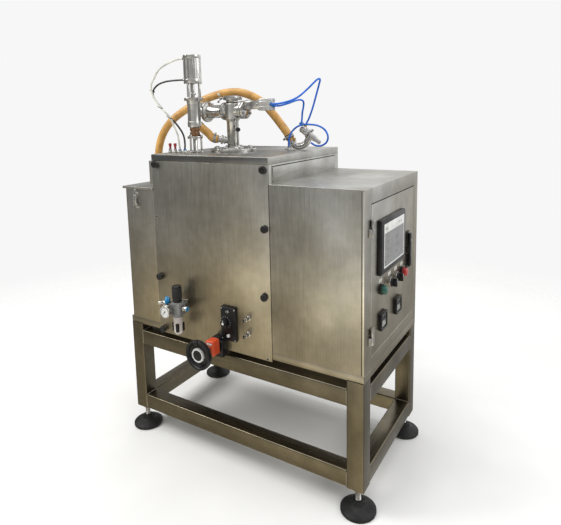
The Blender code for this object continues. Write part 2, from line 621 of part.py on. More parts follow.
def cross_valve_body():
    """Base flange and column, with the clamped barrel on the left and the port flange on the right."""
    x, y = PUMP_XY
    foot = PLATE_TOP + GAP
    column = turned([(0.013, foot), (0.075, foot), (0.075, foot + 0.010), (0.024, foot + 0.010),
                     (0.0195, foot + 0.018), (0.0195, 1.075), (0.026, 1.085), (0.026, 1.132), (0.0195, 1.140),
                     (0.028, 1.146), (0.028, 1.158), (0.013, 1.160)], (x, y, 0))
    barrel = turned([(0, 0), (0.024, 0), (0.032, 0.006), (0.032, 0.016), (0.0215, 0.022), (0.0215, 0.084),
                     (0.027, 0.086), (0.027, 0.096), (0.020, 0.100), (0.020, 0.110), (0, 0.110)],
                    (0.209, y, CROSS_Z), (1, 0, 0))
    right = turned([(0, 0), (0.020, 0), (0.020, 0.030), (0.029, 0.032), (0.029, 0.052), (0, 0.052)],
                   (0.332, y, CROSS_Z + 0.003), (1, 0, 0))
    port_end = JUMPER_END + JUMPER_END_DIRECTION * 0.048
    port = rod(0.011, JUMPER_END, port_end)
    collar = rod(0.015, JUMPER_END + JUMPER_END_DIRECTION * 0.010, JUMPER_END + JUMPER_END_DIRECTION * 0.016)
    return join(column, barrel, right, port, collar)


def cross_valve_actuator():
    """Neck and square air cylinder on the right of the cross valve."""
    y = PUMP_XY[1]
    start = 0.384 + GAP
    neck = rod(0.017, (start, y, ACTUATOR_Z), (NECK_END, y, ACTUATOR_Z))
    half = 0.019
    air_block = block((NECK_END - 0.001, 0.482), (y - half, y + half), (ACTUATOR_Z - half, ACTUATOR_Z + half))
    return join(neck, air_block)


piece(cross_valve_body(), "cross_valve_body", "polished")
piece(cross_valve_actuator(), "cross_valve_actuator", "polished")


# ---- dosing nozzle that lies on the top plate ----
NOZZLE_Y = 0.300
NOZZLE_AXIS = Vector((0.808, 0, -0.589)).normalized()
NOZZLE_BACK = Vector((0.524, NOZZLE_Y, 1.050))
NOZZLE_LENGTH = 0.080
HOSE_END = Vector((0.486, 0.2985, 1.009))
HOSE_END_DIRECTION = Vector((0.46, 0.16, -0.873)).normalized()


def smooth_route(points, spacing):
    """A straight stub at each end, and a Catmull-Rom curve through the points between, evenly spaced."""
    fine = []
    for a, b, c, d in zip(points, points[1:], points[2:], points[3:]):
        for t in np.linspace(0, 1, 24, endpoint=False):
            fine.append(0.5 * (2 * b + (c - a) * t + (2 * a - 5 * b + 4 * c - d) * t ** 2
                               + (3 * b - a - 3 * c + d) * t ** 3))
    fine.append(points[-2])
    walked = np.concatenate([[0], np.cumsum([(q - p).length for p, q in zip(fine, fine[1:])])])
    count = max(2, int(round(walked[-1] / spacing)) + 1)
    wanted = np.linspace(0, walked[-1], count)
    columns = [np.interp(wanted, walked, [p[axis] for p in fine]) for axis in range(3)]
    return [points[0], *[Vector(p) for p in zip(*columns)], points[-1]]


def bent_tube(points, radius, resolution, spacing):
    """A round tube with filled ends along a smooth route."""
    curve = bpy.data.curves.new("tube", "CURVE")
    curve.dimensions = "3D"
    curve.bevel_depth = radius
    curve.bevel_resolution = resolution
    curve.use_fill_caps = True
    route = smooth_route([Vector(p) for p in points], spacing)
    spline = curve.splines.new("POLY")
    spline.points.add(len(route) - 1)
    for place, target in zip(spline.points, route):
        place.co = (*target, 1)
    return new_object("tube", curve)


def as_mesh(tube):
    graph = bpy.context.evaluated_depsgraph_get()
    solid = new_object("tube_mesh", bpy.data.meshes.new_from_object(tube.evaluated_get(graph)))
    bpy.data.objects.remove(tube, do_unlink=True)
    return solid


def along_nozzle(distance):
    return NOZZLE_BACK + NOZZLE_AXIS * distance


def nozzle_body():
    elbow_route = [HOSE_END, HOSE_END + HOSE_END_DIRECTION * 0.009, (0.501, NOZZLE_Y, 0.9915),
                   (0.522, NOZZLE_Y, 0.9915), (0.541, NOZZLE_Y, 1.001),
                   along_nozzle(0.040) + Vector((0, 0, 0.002))]
    elbow = as_mesh(bent_tube(elbow_route, 0.0110, 3, 0.008))
    barrel = turned([(0, 0), (0.013, 0), (0.013, 0.030), (0.010, 0.034), (0.010, 0.060), (0.007, 0.066),
                     (0.007, NOZZLE_LENGTH), (0, NOZZLE_LENGTH)], NOZZLE_BACK, NOZZLE_AXIS, 20)
    join(elbow, barrel)
    return cut(elbow, rod(0.0043, along_nozzle(0.040), along_nozzle(NOZZLE_LENGTH + 0.01), 16))


piece(nozzle_body(), "nozzle_body", "polished")
piece(rod(0.0040, along_nozzle(0.052), along_nozzle(NOZZLE_LENGTH + 0.003), 12), "nozzle_plunger", "polished",
      pivot=along_nozzle(0.052))


# ---- hoses and tubes, each on its own route ----
AIR_RADIUS = 0.003


def cord(name, look, points, radius, resolution, spacing):
    tube = bent_tube(points, radius, resolution, spacing)
    tube.name = name
    tube.data.name = name
    tube.parent = origin
    colour, roughness, metallic = LOOKS[look]
    tube.data.materials.append(material(name + "_" + look, colour, roughness, metallic))


hose_start = Vector((OUTLET[0], OUTLET[1], OUTLET[2] + 0.025 + GAP))
PRODUCT_ROUTE = [
    hose_start, (OUTLET[0], 0.188, 0.560), (OUTLET[0], 0.188, 0.680), (OUTLET[0], 0.188, 0.800),
    (OUTLET[0], 0.188, 0.900), (-0.012, 0.188, 0.972), (0.007, 0.192, 1.031), (0.044, 0.200, 1.079),
    (0.100, 0.212, 1.117), (0.170, 0.223, 1.148), (0.238, 0.234, 1.168), (0.300, 0.245, 1.174),
    (0.350, 0.254, 1.163), (0.396, 0.265, 1.136), (0.429, 0.275, 1.099), (0.454, 0.286, 1.063),
    HOSE_END - HOSE_END_DIRECTION * 0.028, HOSE_END - HOSE_END_DIRECTION * GAP]
cord("product_hose", "amber", PRODUCT_ROUTE, HOSE_RADIUS, 2, 0.050)

JUMPER_ROUTE = [
    JUMPER_START + JUMPER_DIRECTION * GAP, JUMPER_START + JUMPER_DIRECTION * 0.020, (0.252, 0.1545, 1.0385),
    JUMPER_END - JUMPER_END_DIRECTION * 0.018, JUMPER_END - JUMPER_END_DIRECTION * GAP]
cord("jumper_hose", "amber", JUMPER_ROUTE, HOSE_RADIUS, 2, 0.020)

BLACK_ROUTE = [
    (0.205, 0.098, 1.213), (0.186, 0.098, 1.213), (0.136, 0.095, 1.212), (0.102, 0.092, 1.205),
    (0.081, 0.090, 1.192), (0.074, 0.088, 1.176), (0.084, 0.086, 1.155), (0.124, 0.084, 1.116),
    (0.176, 0.082, 1.074), (0.206, 0.081, 1.038), (0.220, 0.072, 1.004), (0.221, 0.069, PLATE_TOP + 0.012)]
CLEAR_ROUTE = [
    (0.206, 0.098, 1.279), (0.181, 0.098, 1.279), (0.143, 0.094, 1.269), (0.106, 0.090, 1.252),
    (0.085, 0.086, 1.224), (0.076, 0.080, 1.201), (0.083, 0.076, 1.171), (0.111, 0.072, 1.138),
    (0.143, 0.070, 1.111), (0.164, 0.070, 1.094), (0.178, 0.070, 1.065), (0.194, 0.070, 1.032),
    (0.199, 0.070, PLATE_TOP + 0.012)]
BLUE_UPPER_ROUTE = [
    (0.4838, 0.180, 1.127), (0.504, 0.187, 1.128), (0.534, 0.203, 1.135), (0.558, 0.220, 1.148),
    (0.579, 0.238, 1.170), (0.594, 0.252, 1.189), (0.602, 0.262, 1.1995), (0.6075, 0.269, 1.2005),
    (0.6025, 0.275, 1.190), (0.586, 0.285, 1.154), (0.568, 0.293, 1.112), (0.551, 0.298, 1.078),
    (0.540, 0.300, 1.062)]
BLUE_LOWER_ROUTE = [
    (0.4840, 0.196, 1.122), (0.498, 0.204, 1.122), (0.520, 0.222, 1.129), (0.534, 0.243, 1.137),
    (0.542, 0.260, 1.1395), (0.544, 0.276, 1.135), (0.539, 0.287, 1.122), (0.529, 0.297, 1.100),
    (0.525, 0.301, 1.080), (0.524, 0.300, 1.068)]
BLUE_LOOP_ROUTE = [
    (0.489, 0.276, PLATE_TOP + 0.014), (0.489, 0.276, 1.010), (0.493, 0.278, 1.029), (0.503, 0.281, 1.044),
    (0.520, 0.283, 1.056), (0.542, 0.284, 1.061), (0.565, 0.284, 1.061), (0.589, 0.283, 1.058),
    (0.612, 0.281, 1.048), (0.625, 0.279, 1.034), (0.629, 0.278, 1.019), (0.623, 0.279, 1.005),
    (0.608, 0.282, 0.9955), (0.592, 0.284, 0.993), (0.577, 0.284, 0.996), (0.566, 0.284, 1.003)]
for name, look, route in (("black_air_tube", "black", BLACK_ROUTE), ("clear_air_tube", "clear", CLEAR_ROUTE),
                          ("blue_air_tube_upper", "blue", BLUE_UPPER_ROUTE),
                          ("blue_air_tube_lower", "blue", BLUE_LOWER_ROUTE),
                          ("blue_air_tube_loop", "blue", BLUE_LOOP_ROUTE)):
    cord(name, look, route, AIR_RADIUS, 2, 0.016)
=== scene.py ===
# %% [markdown]
# # A piston liquid filler, finished for a picture
# The machine measures a liquid with a piston in the middle cabinet and pushes it out through a
# nozzle. The packed model already holds every part at its true size and on its true joint. What it
# lacks is the look of the real thing: folded sheet with soft corners, brushed grain, welds, hose
# braid, dials and small screws. This lesson adds those, one assembly at a time, and leaves every
# size and every joint as the model has them.

# %% Load the model
from math import cos, pi, radians, sin, sqrt, tau

import bmesh
import bpy
import numpy as np
from mathutils import Matrix, Vector


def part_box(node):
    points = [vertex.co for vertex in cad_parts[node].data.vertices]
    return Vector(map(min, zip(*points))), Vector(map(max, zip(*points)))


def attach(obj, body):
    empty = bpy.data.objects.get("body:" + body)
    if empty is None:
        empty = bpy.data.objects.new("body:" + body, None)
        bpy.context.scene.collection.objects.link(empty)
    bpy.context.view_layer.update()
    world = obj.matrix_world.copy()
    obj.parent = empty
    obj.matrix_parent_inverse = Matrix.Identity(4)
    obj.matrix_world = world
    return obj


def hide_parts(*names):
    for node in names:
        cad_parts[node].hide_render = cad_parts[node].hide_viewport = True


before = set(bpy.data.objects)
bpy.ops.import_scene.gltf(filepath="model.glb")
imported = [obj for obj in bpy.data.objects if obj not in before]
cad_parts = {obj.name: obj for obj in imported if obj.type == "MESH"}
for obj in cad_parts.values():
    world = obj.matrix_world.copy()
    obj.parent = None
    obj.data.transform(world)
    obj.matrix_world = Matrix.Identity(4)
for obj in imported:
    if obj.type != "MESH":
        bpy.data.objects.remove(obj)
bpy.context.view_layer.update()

# %% [markdown]
# A fitter measures from the stand: X from its left face, Y from its front face, Z from the floor.
# The tray and the top plate give the place of those two faces, so every number below can be read
# off the machine with a tape.

# %% Measuring from the stand
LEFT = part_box("base_tray")[0][0]
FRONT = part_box("top_plate")[0][1]
TO_WORLD = Matrix.Translation((LEFT, FRONT, 0))


print("stand's left face and front face", round(LEFT, 4), round(FRONT, 4))

# %% [markdown]
# The camera stands to the right of the machine at chest height and looks a little down. A camera's
# matrix could come from a Track To constraint, but that leaves no roll, so the three directions are
# worked out from yaw, pitch and roll and written straight into the matrix.

# %% Camera
YAW, PITCH, ROLL = (radians(a) for a in (32.34, 8.28, -1.35))
ahead = Vector((-sin(YAW) * cos(PITCH), cos(YAW) * cos(PITCH), -sin(PITCH)))
level = Vector((cos(YAW), sin(YAW), 0))
above = level.cross(ahead)
right = cos(ROLL) * level + sin(ROLL) * above
up = cos(ROLL) * above - sin(ROLL) * level
camera = bpy.data.objects.new("camera", bpy.data.cameras.new("camera"))
bpy.context.collection.objects.link(camera)
camera.matrix_world = Matrix.Translation((0.882, -1.334,
                                          1.089)) @ Matrix((right, up, -ahead)).transposed().to_4x4()
camera.data.sensor_width = 36
camera.data.lens = 32.14
camera.data.shift_x, camera.data.shift_y = 0.0207, -0.13
camera.data.clip_start = 0.05
bpy.context.scene.camera = camera
print("camera is", round(camera.location.length, 2), "m from the machine's foot")

# %% [markdown]
# Brushed steel shows its surroundings, so the light matters as much as the metal. A large soft
# source stands at the left front. A weaker one at the right is there for the door side, which the
# large one doesn't reach. A broad sun overhead lights the top surfaces.

# %% Lights
def soft_light(name, place, aim, width, height, watts, colour):
    data = bpy.data.lights.new(name, "AREA")
    data.shape = "RECTANGLE"
    data.size, data.size_y, data.energy, data.color = width, height, watts, colour
    lamp = bpy.data.objects.new(name, data)
    bpy.context.collection.objects.link(lamp)
    lamp.location = place
    lamp.rotation_euler = (Vector(aim) - Vector(place)).to_track_quat("-Z", "Y").to_euler()
    return lamp


soft_light("key_light", (-2.2, -1.7, 2.7), (0, 0, 0.7), 1.0, 1.2, 44, (1.0, 0.99, 0.97))
soft_light("fill_light", (2.7, 0.2, 2.2), (0.2, 0, 0.7), 1.2, 1.4, 18, (0.97, 0.98, 1.0))
sun = bpy.data.objects.new("overhead_light", bpy.data.lights.new("overhead_light", "SUN"))
bpy.context.collection.objects.link(sun)
sun.data.energy, sun.data.angle = 0.95, radians(40)
sun.rotation_euler = (radians(12), radians(-18), 0)

# %% [markdown]
# The sheet metal mirrors a sky that the camera never sees. It is built from two ramps. One starts
# underneath with a dark foot and a warm band, goes darker at middle height, and turns paler high
# at the back. The other runs from left to right and stands for the light and dark walls of a room.
# A flat grey sky would be simpler, but it has no light and dark for the metal to mirror. Seen
# directly, the backdrop is a plain near white.

# %% Sky
bpy.context.scene.view_settings.view_transform = "Standard"
world = bpy.data.worlds.new("studio")
bpy.context.scene.world = world
world.use_nodes = True
sky = world.node_tree
backdrop = sky.nodes["Background"]
BACKDROP_GREY = 0.93
seen = sky.nodes.new("ShaderNodeLightPath")
shade = sky.nodes.new("ShaderNodeMix")
shade.data_type = "RGBA"
shade.inputs[7].default_value = (*[BACKDROP_GREY] * 3, 1)
sky.links.new(seen.outputs["Is Camera Ray"], shade.inputs[0])
way = sky.nodes.new("ShaderNodeTexCoord").outputs["Generated"]


def ramp_of(value, bands):
    """A colour ramp over a value that runs from -1 to 1; bands are (place, colour) stops."""
    whole = sky.nodes.new("ShaderNodeMapRange")
    whole.inputs["From Min"].default_value = -1.0
    sky.links.new(value, whole.inputs["Value"])
    made = sky.nodes.new("ShaderNodeValToRGB")
    sky.links.new(whole.outputs[0], made.inputs["Fac"])
    while len(made.color_ramp.elements) < len(bands):
        made.color_ramp.elements.new(0.5)
    for stop, (place, colour) in zip(made.color_ramp.elements, bands):
        stop.position, stop.color = place, (*colour, 1)
    return made.outputs["Color"]


UP_AND_BACK = (0.2, 0.45, 0.87)
HEIGHT_BANDS = [(0.0, (0.24, 0.22, 0.18)), (0.05, (0.6, 0.55, 0.42)), (0.105, (0.76, 0.7, 0.56)),
                (0.15, (0.5, 0.475, 0.41)), (0.2, (0.45, 0.44, 0.42)),
                (0.26, (0.31, 0.305, 0.295)), (0.5, (0.22, 0.22, 0.215)),
                (0.64, (0.33, 0.33, 0.325)), (0.77, (0.5, 0.5, 0.5)), (1.0, (0.6, 0.6, 0.6))]
WALL_BANDS = [(place, (level, level, level)) for place, level in
              ((0.1, 0.44), (0.165, 0.6), (0.2, 0.28), (0.24, 0.15), (0.262, 0.7),
               (0.285, 0.64), (0.325, 1.0))]
BRIGHTEST_WALL = 2.1
rise = sky.nodes.new("ShaderNodeVectorMath")
rise.operation = "DOT_PRODUCT"
rise.inputs[1].default_value = UP_AND_BACK
sky.links.new(way, rise.inputs[0])
apart = sky.nodes.new("ShaderNodeSeparateXYZ")
sky.links.new(way, apart.inputs[0])
side = sky.nodes.new("ShaderNodeMath")
side.operation = "MULTIPLY"
side.inputs[1].default_value = BRIGHTEST_WALL
sky.links.new(ramp_of(apart.outputs["X"], WALL_BANDS), side.inputs[0])
room = sky.nodes.new("ShaderNodeMix")
room.data_type, room.blend_type = "RGBA", "MULTIPLY"
room.inputs[0].default_value = 1.0
sky.links.new(ramp_of(rise.outputs["Value"], HEIGHT_BANDS), room.inputs[6])
sky.links.new(side.outputs[0], room.inputs[7])
sky.links.new(room.outputs[2], shade.inputs[6])
sky.links.new(shade.outputs[2], backdrop.inputs["Color"])
print("sky nodes", len(sky.nodes))

# %% [markdown]
# The floor is a pale disc, a hair below the feet. Its paint comes later with the other finishes
# and fades out towards the rim, so that no edge shows. Shiny surfaces don't mirror it: below the
# horizon they see the sky's warm bands instead, which keeps the legs from washing out.

# %% Floor
FLOOR_RADIUS = 3.0
floor_bm = bmesh.new()
bmesh.ops.create_circle(floor_bm, cap_ends=True, segments=96, radius=FLOOR_RADIUS)
floor_mesh = bpy.data.meshes.new("floor")
floor_bm.to_mesh(floor_mesh)
floor_bm.free()
floor = bpy.data.objects.new("floor", floor_mesh)
bpy.context.collection.objects.link(floor)
floor.location.z = -0.0005
floor.visible_glossy = False
print("floor is", 2 * FLOOR_RADIUS, "m across")

# %% [markdown]
# ## Finishes
# Every finish on this machine is a Principled shader fed by noise that runs in the part's own
# coordinates. Those coordinates are metres, so a noise scale of 400 makes marks about 2.5 mm
# apart, and stretching one axis turns round marks into brushed lines. A picture of steel would be
# quicker, but it would not follow the parts when they turn, nor hold up close.

# %% A small kit for wiring finishes
class Finish:
    """A material under construction, whose nodes are added and wired by short calls."""

    def __init__(self, name, metallic=0.0, constants=None):
        self.material = bpy.data.materials.new(name)
        self.material.use_nodes = True
        self.tree = self.material.node_tree
        self.shader = self.tree.nodes["Principled BSDF"]
        self.shader.inputs["Metallic"].default_value = metallic
        for socket, value in (constants or {}).items():
            self.shader.inputs[socket].default_value = value
        self.coords = self.add("TexCoord").outputs["Object"]

    def add(self, kind, inputs=None, **settings):
        made = self.tree.nodes.new("ShaderNode" + kind)
        for key, value in settings.items():
            setattr(made, key, value)
        for key, value in (inputs or {}).items():
            if isinstance(value, bpy.types.NodeSocket):
                self.tree.links.new(value, made.inputs[key])
            else:
                made.inputs[key].default_value = value
        return made

    def noise(self, scale, stretch=(1, 1, 1), detail=4.0):
        placed = self.add("Mapping", {"Vector": self.coords, "Scale": stretch}).outputs[0]
        return self.add("TexNoise", {"Vector": placed, "Scale": scale, "Detail": detail}).outputs["Fac"]

    def ramp(self, value, low, high, start=0.35, end=0.65):
        made = self.add("ValToRGB", {"Fac": value})
        first, last = made.color_ramp.elements
        first.position, last.position = start, end
        first.color, last.color = (*low, 1), (*high, 1)
        return made.outputs["Color"]

    def spread(self, value, low, high, start=0.3, end=0.7):
        inputs = {"Value": value, "From Min": start, "From Max": end, "To Min": low, "To Max": high}
        return self.add("MapRange", inputs).outputs[0]

    def blend(self, amount, below, over, how="MIX"):
        return self.add("Mix", {0: amount, 6: below, 7: over}, data_type="RGBA", blend_type=how).outputs[2]

    def sum(self, a, b, how="ADD"):
        return self.add("Math", {0: a, 1: b}, operation=how).outputs[0]

    def edges(self, width=0.0012):
        """1 along the softened edges, where handling wears a surface first."""
        rounded = self.add("Bevel", {"Radius": width}, samples=4).outputs[0]
        flat = self.add("NewGeometry").outputs["Normal"]
        same = self.add("VectorMath", {0: rounded, 1: flat}, operation="DOT_PRODUCT").outputs["Value"]
        return self.spread(same, 0, 1, 0.99, 0.86)

    def bump(self, height, distance, strength=0.5, under=None):
        inputs = {"Height": height, "Distance": distance, "Strength": strength}
        if under:
            inputs["Normal"] = under
        return self.add("Bump", inputs).outputs[0]

    def done(self, colour, roughness, normal=None):
        self.tree.links.new(colour, self.shader.inputs["Base Color"])
        self.tree.links.new(roughness, self.shader.inputs["Roughness"])
        if normal:
            self.tree.links.new(normal, self.shader.inputs["Normal"])
        return self.material


FINISH = {}
print("a finish is wired with", [n for n in vars(Finish) if not n.startswith("_")])

# %% [markdown]
# Stainless sheet comes from the mill with a fine grain along its length, and it picks up smears,
# hand marks and darker patches in use. Layers of noise do that: long thin streaks for the grain,
# soft clouds for the smears and finer ones for the marks. The lower part of a sheet is painted
# darker and warmer, a painted reflection of a wooden floor and painted shade, and its edges are
# paler. The grain turns the normal a little, so that the highlights break up along it.

# %% Brushed and polished steel
def brushed(name, grain, tone=(0.49, 0.48, 0.455), rough=0.33):
    """Stainless sheet with its grain along one axis: 0, 1 or 2. Low down it is painted darker and warmer, a
    painted reflection of a wooden floor and painted shade.
    """
    steel = Finish(name, 1.0, {"Anisotropic": 0.4})
    stretch = [1.0, 1.0, 1.0]
    stretch[grain] = 0.03
    streak = steel.noise(430, stretch, 3)
    hairline = steel.noise(1700, stretch, 2)
    smear = steel.noise(6.5, (1, 1, 0.8), 5)
    marks = steel.noise(38, (1, 1, 1), 4)
    base = steel.ramp(streak, [t * 0.9 for t in tone], [t * 1.08 for t in tone], 0.3, 0.7)
    base = steel.blend(1.0, base, steel.ramp(smear, (0.78, 0.77, 0.75), (1.12, 1.12, 1.12)), "MULTIPLY")
    # Painted reflection and painted shade: darker and warmer towards the bottom, with a little noise.
    height = steel.add("SeparateXYZ", {0: steel.coords}).outputs[2]
    low_painted_reflection_and_shade = steel.sum(height, steel.spread(steel.noise(2.4, (1, 1, 0.5), 2), -0.22, 0.22))
    base = steel.blend(1.0, base, steel.ramp(low_painted_reflection_and_shade, (0.68, 0.61, 0.48), (1.0, 1.02, 1.03), 0.42, 0.95),
                       "MULTIPLY")
    base = steel.blend(1.0, base, steel.ramp(marks, (0.93, 0.93, 0.92), (1.03, 1.03, 1.03)), "MULTIPLY")
    base = steel.blend(steel.sum(steel.edges(), 0.6, "MULTIPLY"), base, (0.55, 0.54, 0.51, 1))
    roughness = steel.sum(steel.spread(smear, rough + 0.08, rough - 0.06),
                          steel.spread(streak, -0.05, 0.05))
    normal = steel.bump(hairline, 0.00012, 0.35, steel.bump(streak, 0.0003, 0.25))
    turn = steel.add("Tangent", direction_type="RADIAL", axis="Z").outputs[0]
    steel.tree.links.new(turn, steel.shader.inputs["Tangent"])
    return steel.done(base, roughness, normal)


def turned_metal(name, tone, rough, worn=(0.8, 0.79, 0.77)):
    """Turned and polished fittings, with faint tool rings and finger marks."""
    metal = Finish(name, 1.0)
    rings = metal.noise(900, (1, 1, 1), 2)
    marks = metal.noise(60, (1, 1, 1), 5)
    base = metal.ramp(marks, [t * 0.82 for t in tone], [t * 1.06 for t in tone])
    base = metal.blend(metal.edges(), base, (*worn, 1))
    roughness = metal.sum(metal.spread(marks, rough + 0.09, rough - 0.03), metal.spread(rings, -0.02, 0.03))
    return metal.done(base, roughness, metal.bump(rings, 0.0001, 0.3))


# The tubes take a darker copy of the sheet's tone: painted shade and a painted reflection of a dark wooden
# floor.
TUBE_PAINTED_SHADE_TONE = (0.23, 0.222, 0.202)
FINISH.update({
    "sheet_up": brushed("brushed_sheet_upright", 2),
    "sheet_across": brushed("brushed_sheet_across", 0),
    "sheet_deep": brushed("brushed_sheet_front_to_back", 1),
    # A darker copy of the sheet: painted shade for the top plate's front fold.
    "fold": brushed("brushed_fold_painted_shade", 0, (0.2, 0.205, 0.215)),
    # A bright copy of the sheet: painted highlight for folds that would catch the light.
    "edge": brushed("folded_edge_painted_highlight", 2, (0.86, 0.85, 0.82), 0.28),
    "tube_up": brushed("square_tube_upright", 2, TUBE_PAINTED_SHADE_TONE, 0.3),
    "tube_across": brushed("square_tube_across", 0, TUBE_PAINTED_SHADE_TONE, 0.3),
    "tube_deep": brushed("square_tube_front_to_back", 1, TUBE_PAINTED_SHADE_TONE, 0.3),
    "fitting": turned_metal("polished_fitting", (0.56, 0.55, 0.525), 0.15),
    "satin": turned_metal("satin_fitting", (0.44, 0.43, 0.41), 0.3),
    "weld": turned_metal("weld_bead", (0.3, 0.265, 0.215), 0.42, (0.5, 0.46, 0.4)),
    "zinc": turned_metal("zinc_plated", (0.44, 0.43, 0.4), 0.34),
    "brass": turned_metal("brass_nut", (0.58, 0.4, 0.15), 0.24, (0.75, 0.6, 0.3)),
    "bronze": turned_metal("bronze_waist", (0.26, 0.145, 0.085), 0.32, (0.45, 0.3, 0.18)),
    "alloy": turned_metal("anodised_alloy", (0.56, 0.56, 0.55), 0.38),
})
print("metals", list(FINISH))

# %% [markdown]
# Knobs, bezels and cases are moulded plastic. A mould leaves a fine spark-eroded grain, which a
# small bump gives, and the raised edges go paler where hands rub them. Rubber is the same idea
# with more roughness.

# %% Plastics, rubber and paint
def moulded(name, colour, rough=0.42, grain=1100, worn=0.25, constants=None):
    """Moulded plastic or paint: fine grain, dust in patches and rubbed edges."""
    plastic = Finish(name, 0.0, constants)
    texture = plastic.noise(grain, (1, 1, 1), 3)
    dust = plastic.noise(34, (1, 1, 1), 5)
    rubbed = [min(1, c + worn * (1 - c) * 0.5) for c in colour]
    base = plastic.ramp(dust, [c * 0.86 for c in colour], [min(1, c * 1.1 + 0.006) for c in colour])
    base = plastic.blend(plastic.sum(plastic.edges(), 0.6, "MULTIPLY"), base, (*rubbed, 1))
    roughness = plastic.sum(plastic.spread(dust, rough + 0.08, rough - 0.07),
                            plastic.spread(texture, -0.04, 0.04))
    return plastic.done(base, roughness, plastic.bump(texture, 0.00015, 0.35))


FINISH.update({
    "black": moulded("black_plastic", (0.007, 0.007, 0.008), 0.34, constants={"Specular IOR Level": 0.3}),
    "rubber": moulded("black_rubber", (0.009, 0.009, 0.009), 0.62, 700, 0.08, {"Specular IOR Level": 0.3}),
    # Near-black filler for seams and holes: painted shadow.
    "dark": moulded("painted_gap_shadow", (0.004, 0.004, 0.004), 0.8, 300, 0.0, {"Specular IOR Level": 0.1}),
    "grey": moulded("grey_casting", (0.2, 0.2, 0.195), 0.45),
    "controller": moulded("controller_grey", (0.42, 0.42, 0.39), 0.45),
    "white": moulded("white_plastic", (0.72, 0.72, 0.7), 0.38, 900, 0.1),
    "label": moulded("blank_label", (0.55, 0.54, 0.49), 0.4, 500, 0.1),
    "glass_grey": moulded("screen_face", (0.135, 0.14, 0.14), 0.22, 250, 0.0, {"Coat Weight": 0.5}),
    "meter_face": moulded("meter_face", (0.33, 0.33, 0.31), 0.3, 300, 0.0, {"Coat Weight": 0.4}),
    "green": moulded("green_cap", (0.004, 0.085, 0.058), 0.28, 900, 0.15, {"Coat Weight": 0.3}),
    "red": moulded("red_cap", (0.36, 0.012, 0.012), 0.3, 900, 0.15, {"Coat Weight": 0.3}),
    "orange": moulded("orange_case", (0.66, 0.075, 0.02), 0.36, 900, 0.2),
    "blue": moulded("blue_ring", (0.01, 0.15, 0.46), 0.3, 900, 0.15),
    "push_in": moulded("light_blue_ring", (0.005, 0.27, 0.58), 0.3, 900, 0.15),
})
print("finishes so far", len(FINISH))

# %% [markdown]
# The product hose is clear amber rubber over a woven reinforcement. The weave shows as crossing
# diagonal threads. Those follow the hose, not the room, so its tube carries its own coordinates:
# U round the hose and V along it, and two sets of slanting waves are crossed on them.

# %% Braided hose and plain air tube
def braided(name):
    hose = Finish(name, 0.0, {"Coat Weight": 0.35, "Coat Roughness": 0.15})
    along = hose.add("UVMap").outputs[0]
    threads = []
    for lean in (1, -1):
        turned_uv = hose.add("Mapping",
                             {"Vector": along, "Rotation": (0, 0, lean * radians(38))}).outputs[0]
        inputs = {"Vector": turned_uv, "Scale": 4.4, "Distortion": 0.4}
        threads.append(hose.add("TexWave", inputs, bands_direction="X").outputs["Fac"])
    weave = hose.sum(*threads, "MAXIMUM")
    age = hose.noise(26, (1, 1, 1), 5)
    base = hose.ramp(weave, (0.47, 0.215, 0.035), (0.84, 0.49, 0.14), 0.35, 0.85)
    base = hose.blend(1.0, base, hose.ramp(age, (0.74, 0.7, 0.62), (1.12, 1.1, 1.06)), "MULTIPLY")
    return hose.done(base, hose.spread(age, 0.42, 0.28), hose.bump(weave, 0.0005, 0.5))


def air_tube(name, colour, clear=0.0):
    """Thin polyurethane tube: smooth, with cloudy patches and a few scuffs."""
    tube = Finish(name, 0.0, {"Transmission Weight": clear, "IOR": 1.45})
    cloud = tube.noise(45, (1, 1, 1), 4)
    base = tube.ramp(cloud, [c * 0.8 for c in colour], [min(1, c * 1.15 + 0.01) for c in colour])
    scuffs = tube.noise(700, (1, 1, 1), 2)
    return tube.done(base, tube.spread(cloud, 0.3, 0.18), tube.bump(scuffs, 0.0001, 0.2))


FINISH.update({
    "braid": braided("braided_amber_hose"),
    "blue_tube": air_tube("blue_air_tube", (0.01, 0.15, 0.7)),
    "black_tube": air_tube("black_air_tube", (0.013, 0.013, 0.014)),
    "clear_tube": air_tube("clear_air_tube", (0.86, 0.86, 0.79), 0.35),
    "bowl": air_tube("clear_bowl", (0.76, 0.7, 0.64), 0.25),
})
print("finishes", len(FINISH))

# %% [markdown]
# The floor's paint is a matt off-white, a little uneven. Its alpha falls from 1 to 0 with the
# distance from the machine, which hides the rim of the disc.

# %% Floor paint
FADE_FROM, FADE_TO = 1.0, FLOOR_RADIUS - 0.5
floor_paint = Finish("pale_floor", 0.0, {"Specular IOR Level": 0.2})
cloudy = floor_paint.noise(3.0, (1, 1, 1), 3)
reach = floor_paint.add("VectorMath", {0: floor_paint.coords}, operation="LENGTH").outputs["Value"]
floor_paint.done(floor_paint.ramp(cloudy, (0.8, 0.8, 0.79), (0.84, 0.84, 0.83)),
                 floor_paint.spread(cloudy, 0.8, 0.9))
floor_paint.tree.links.new(floor_paint.spread(reach, 1, 0, FADE_FROM, FADE_TO),
                           floor_paint.shader.inputs["Alpha"])
floor.data.materials.append(floor_paint.material)
print("floor fades from", FADE_FROM, "to", FADE_TO, "m")

# %% [markdown]
# ## Shapes
# Real edges are never sharp: a folded sheet has a corner radius near its own thickness, and a
# turned part has its corners broken. A sharp edge catches no light, so every shape is softened as
# it is made. The shapes below are plain mesh code. Each gives a small mesh, and `make` gathers
# them into one named piece with its finish and the body it rides on.

# %% Blocks and turnings
def soften(bm, width, segments=2, angle=32):
    limit = radians(angle)
    sharp = [e for e in bm.edges if len(e.link_faces) == 2 and e.calc_face_angle(0) > limit]
    if width:
        bmesh.ops.bevel(bm, geom=sharp, offset=width, segments=segments, profile=0.5,
                        affect="EDGES", clamp_overlap=True)
    return bm


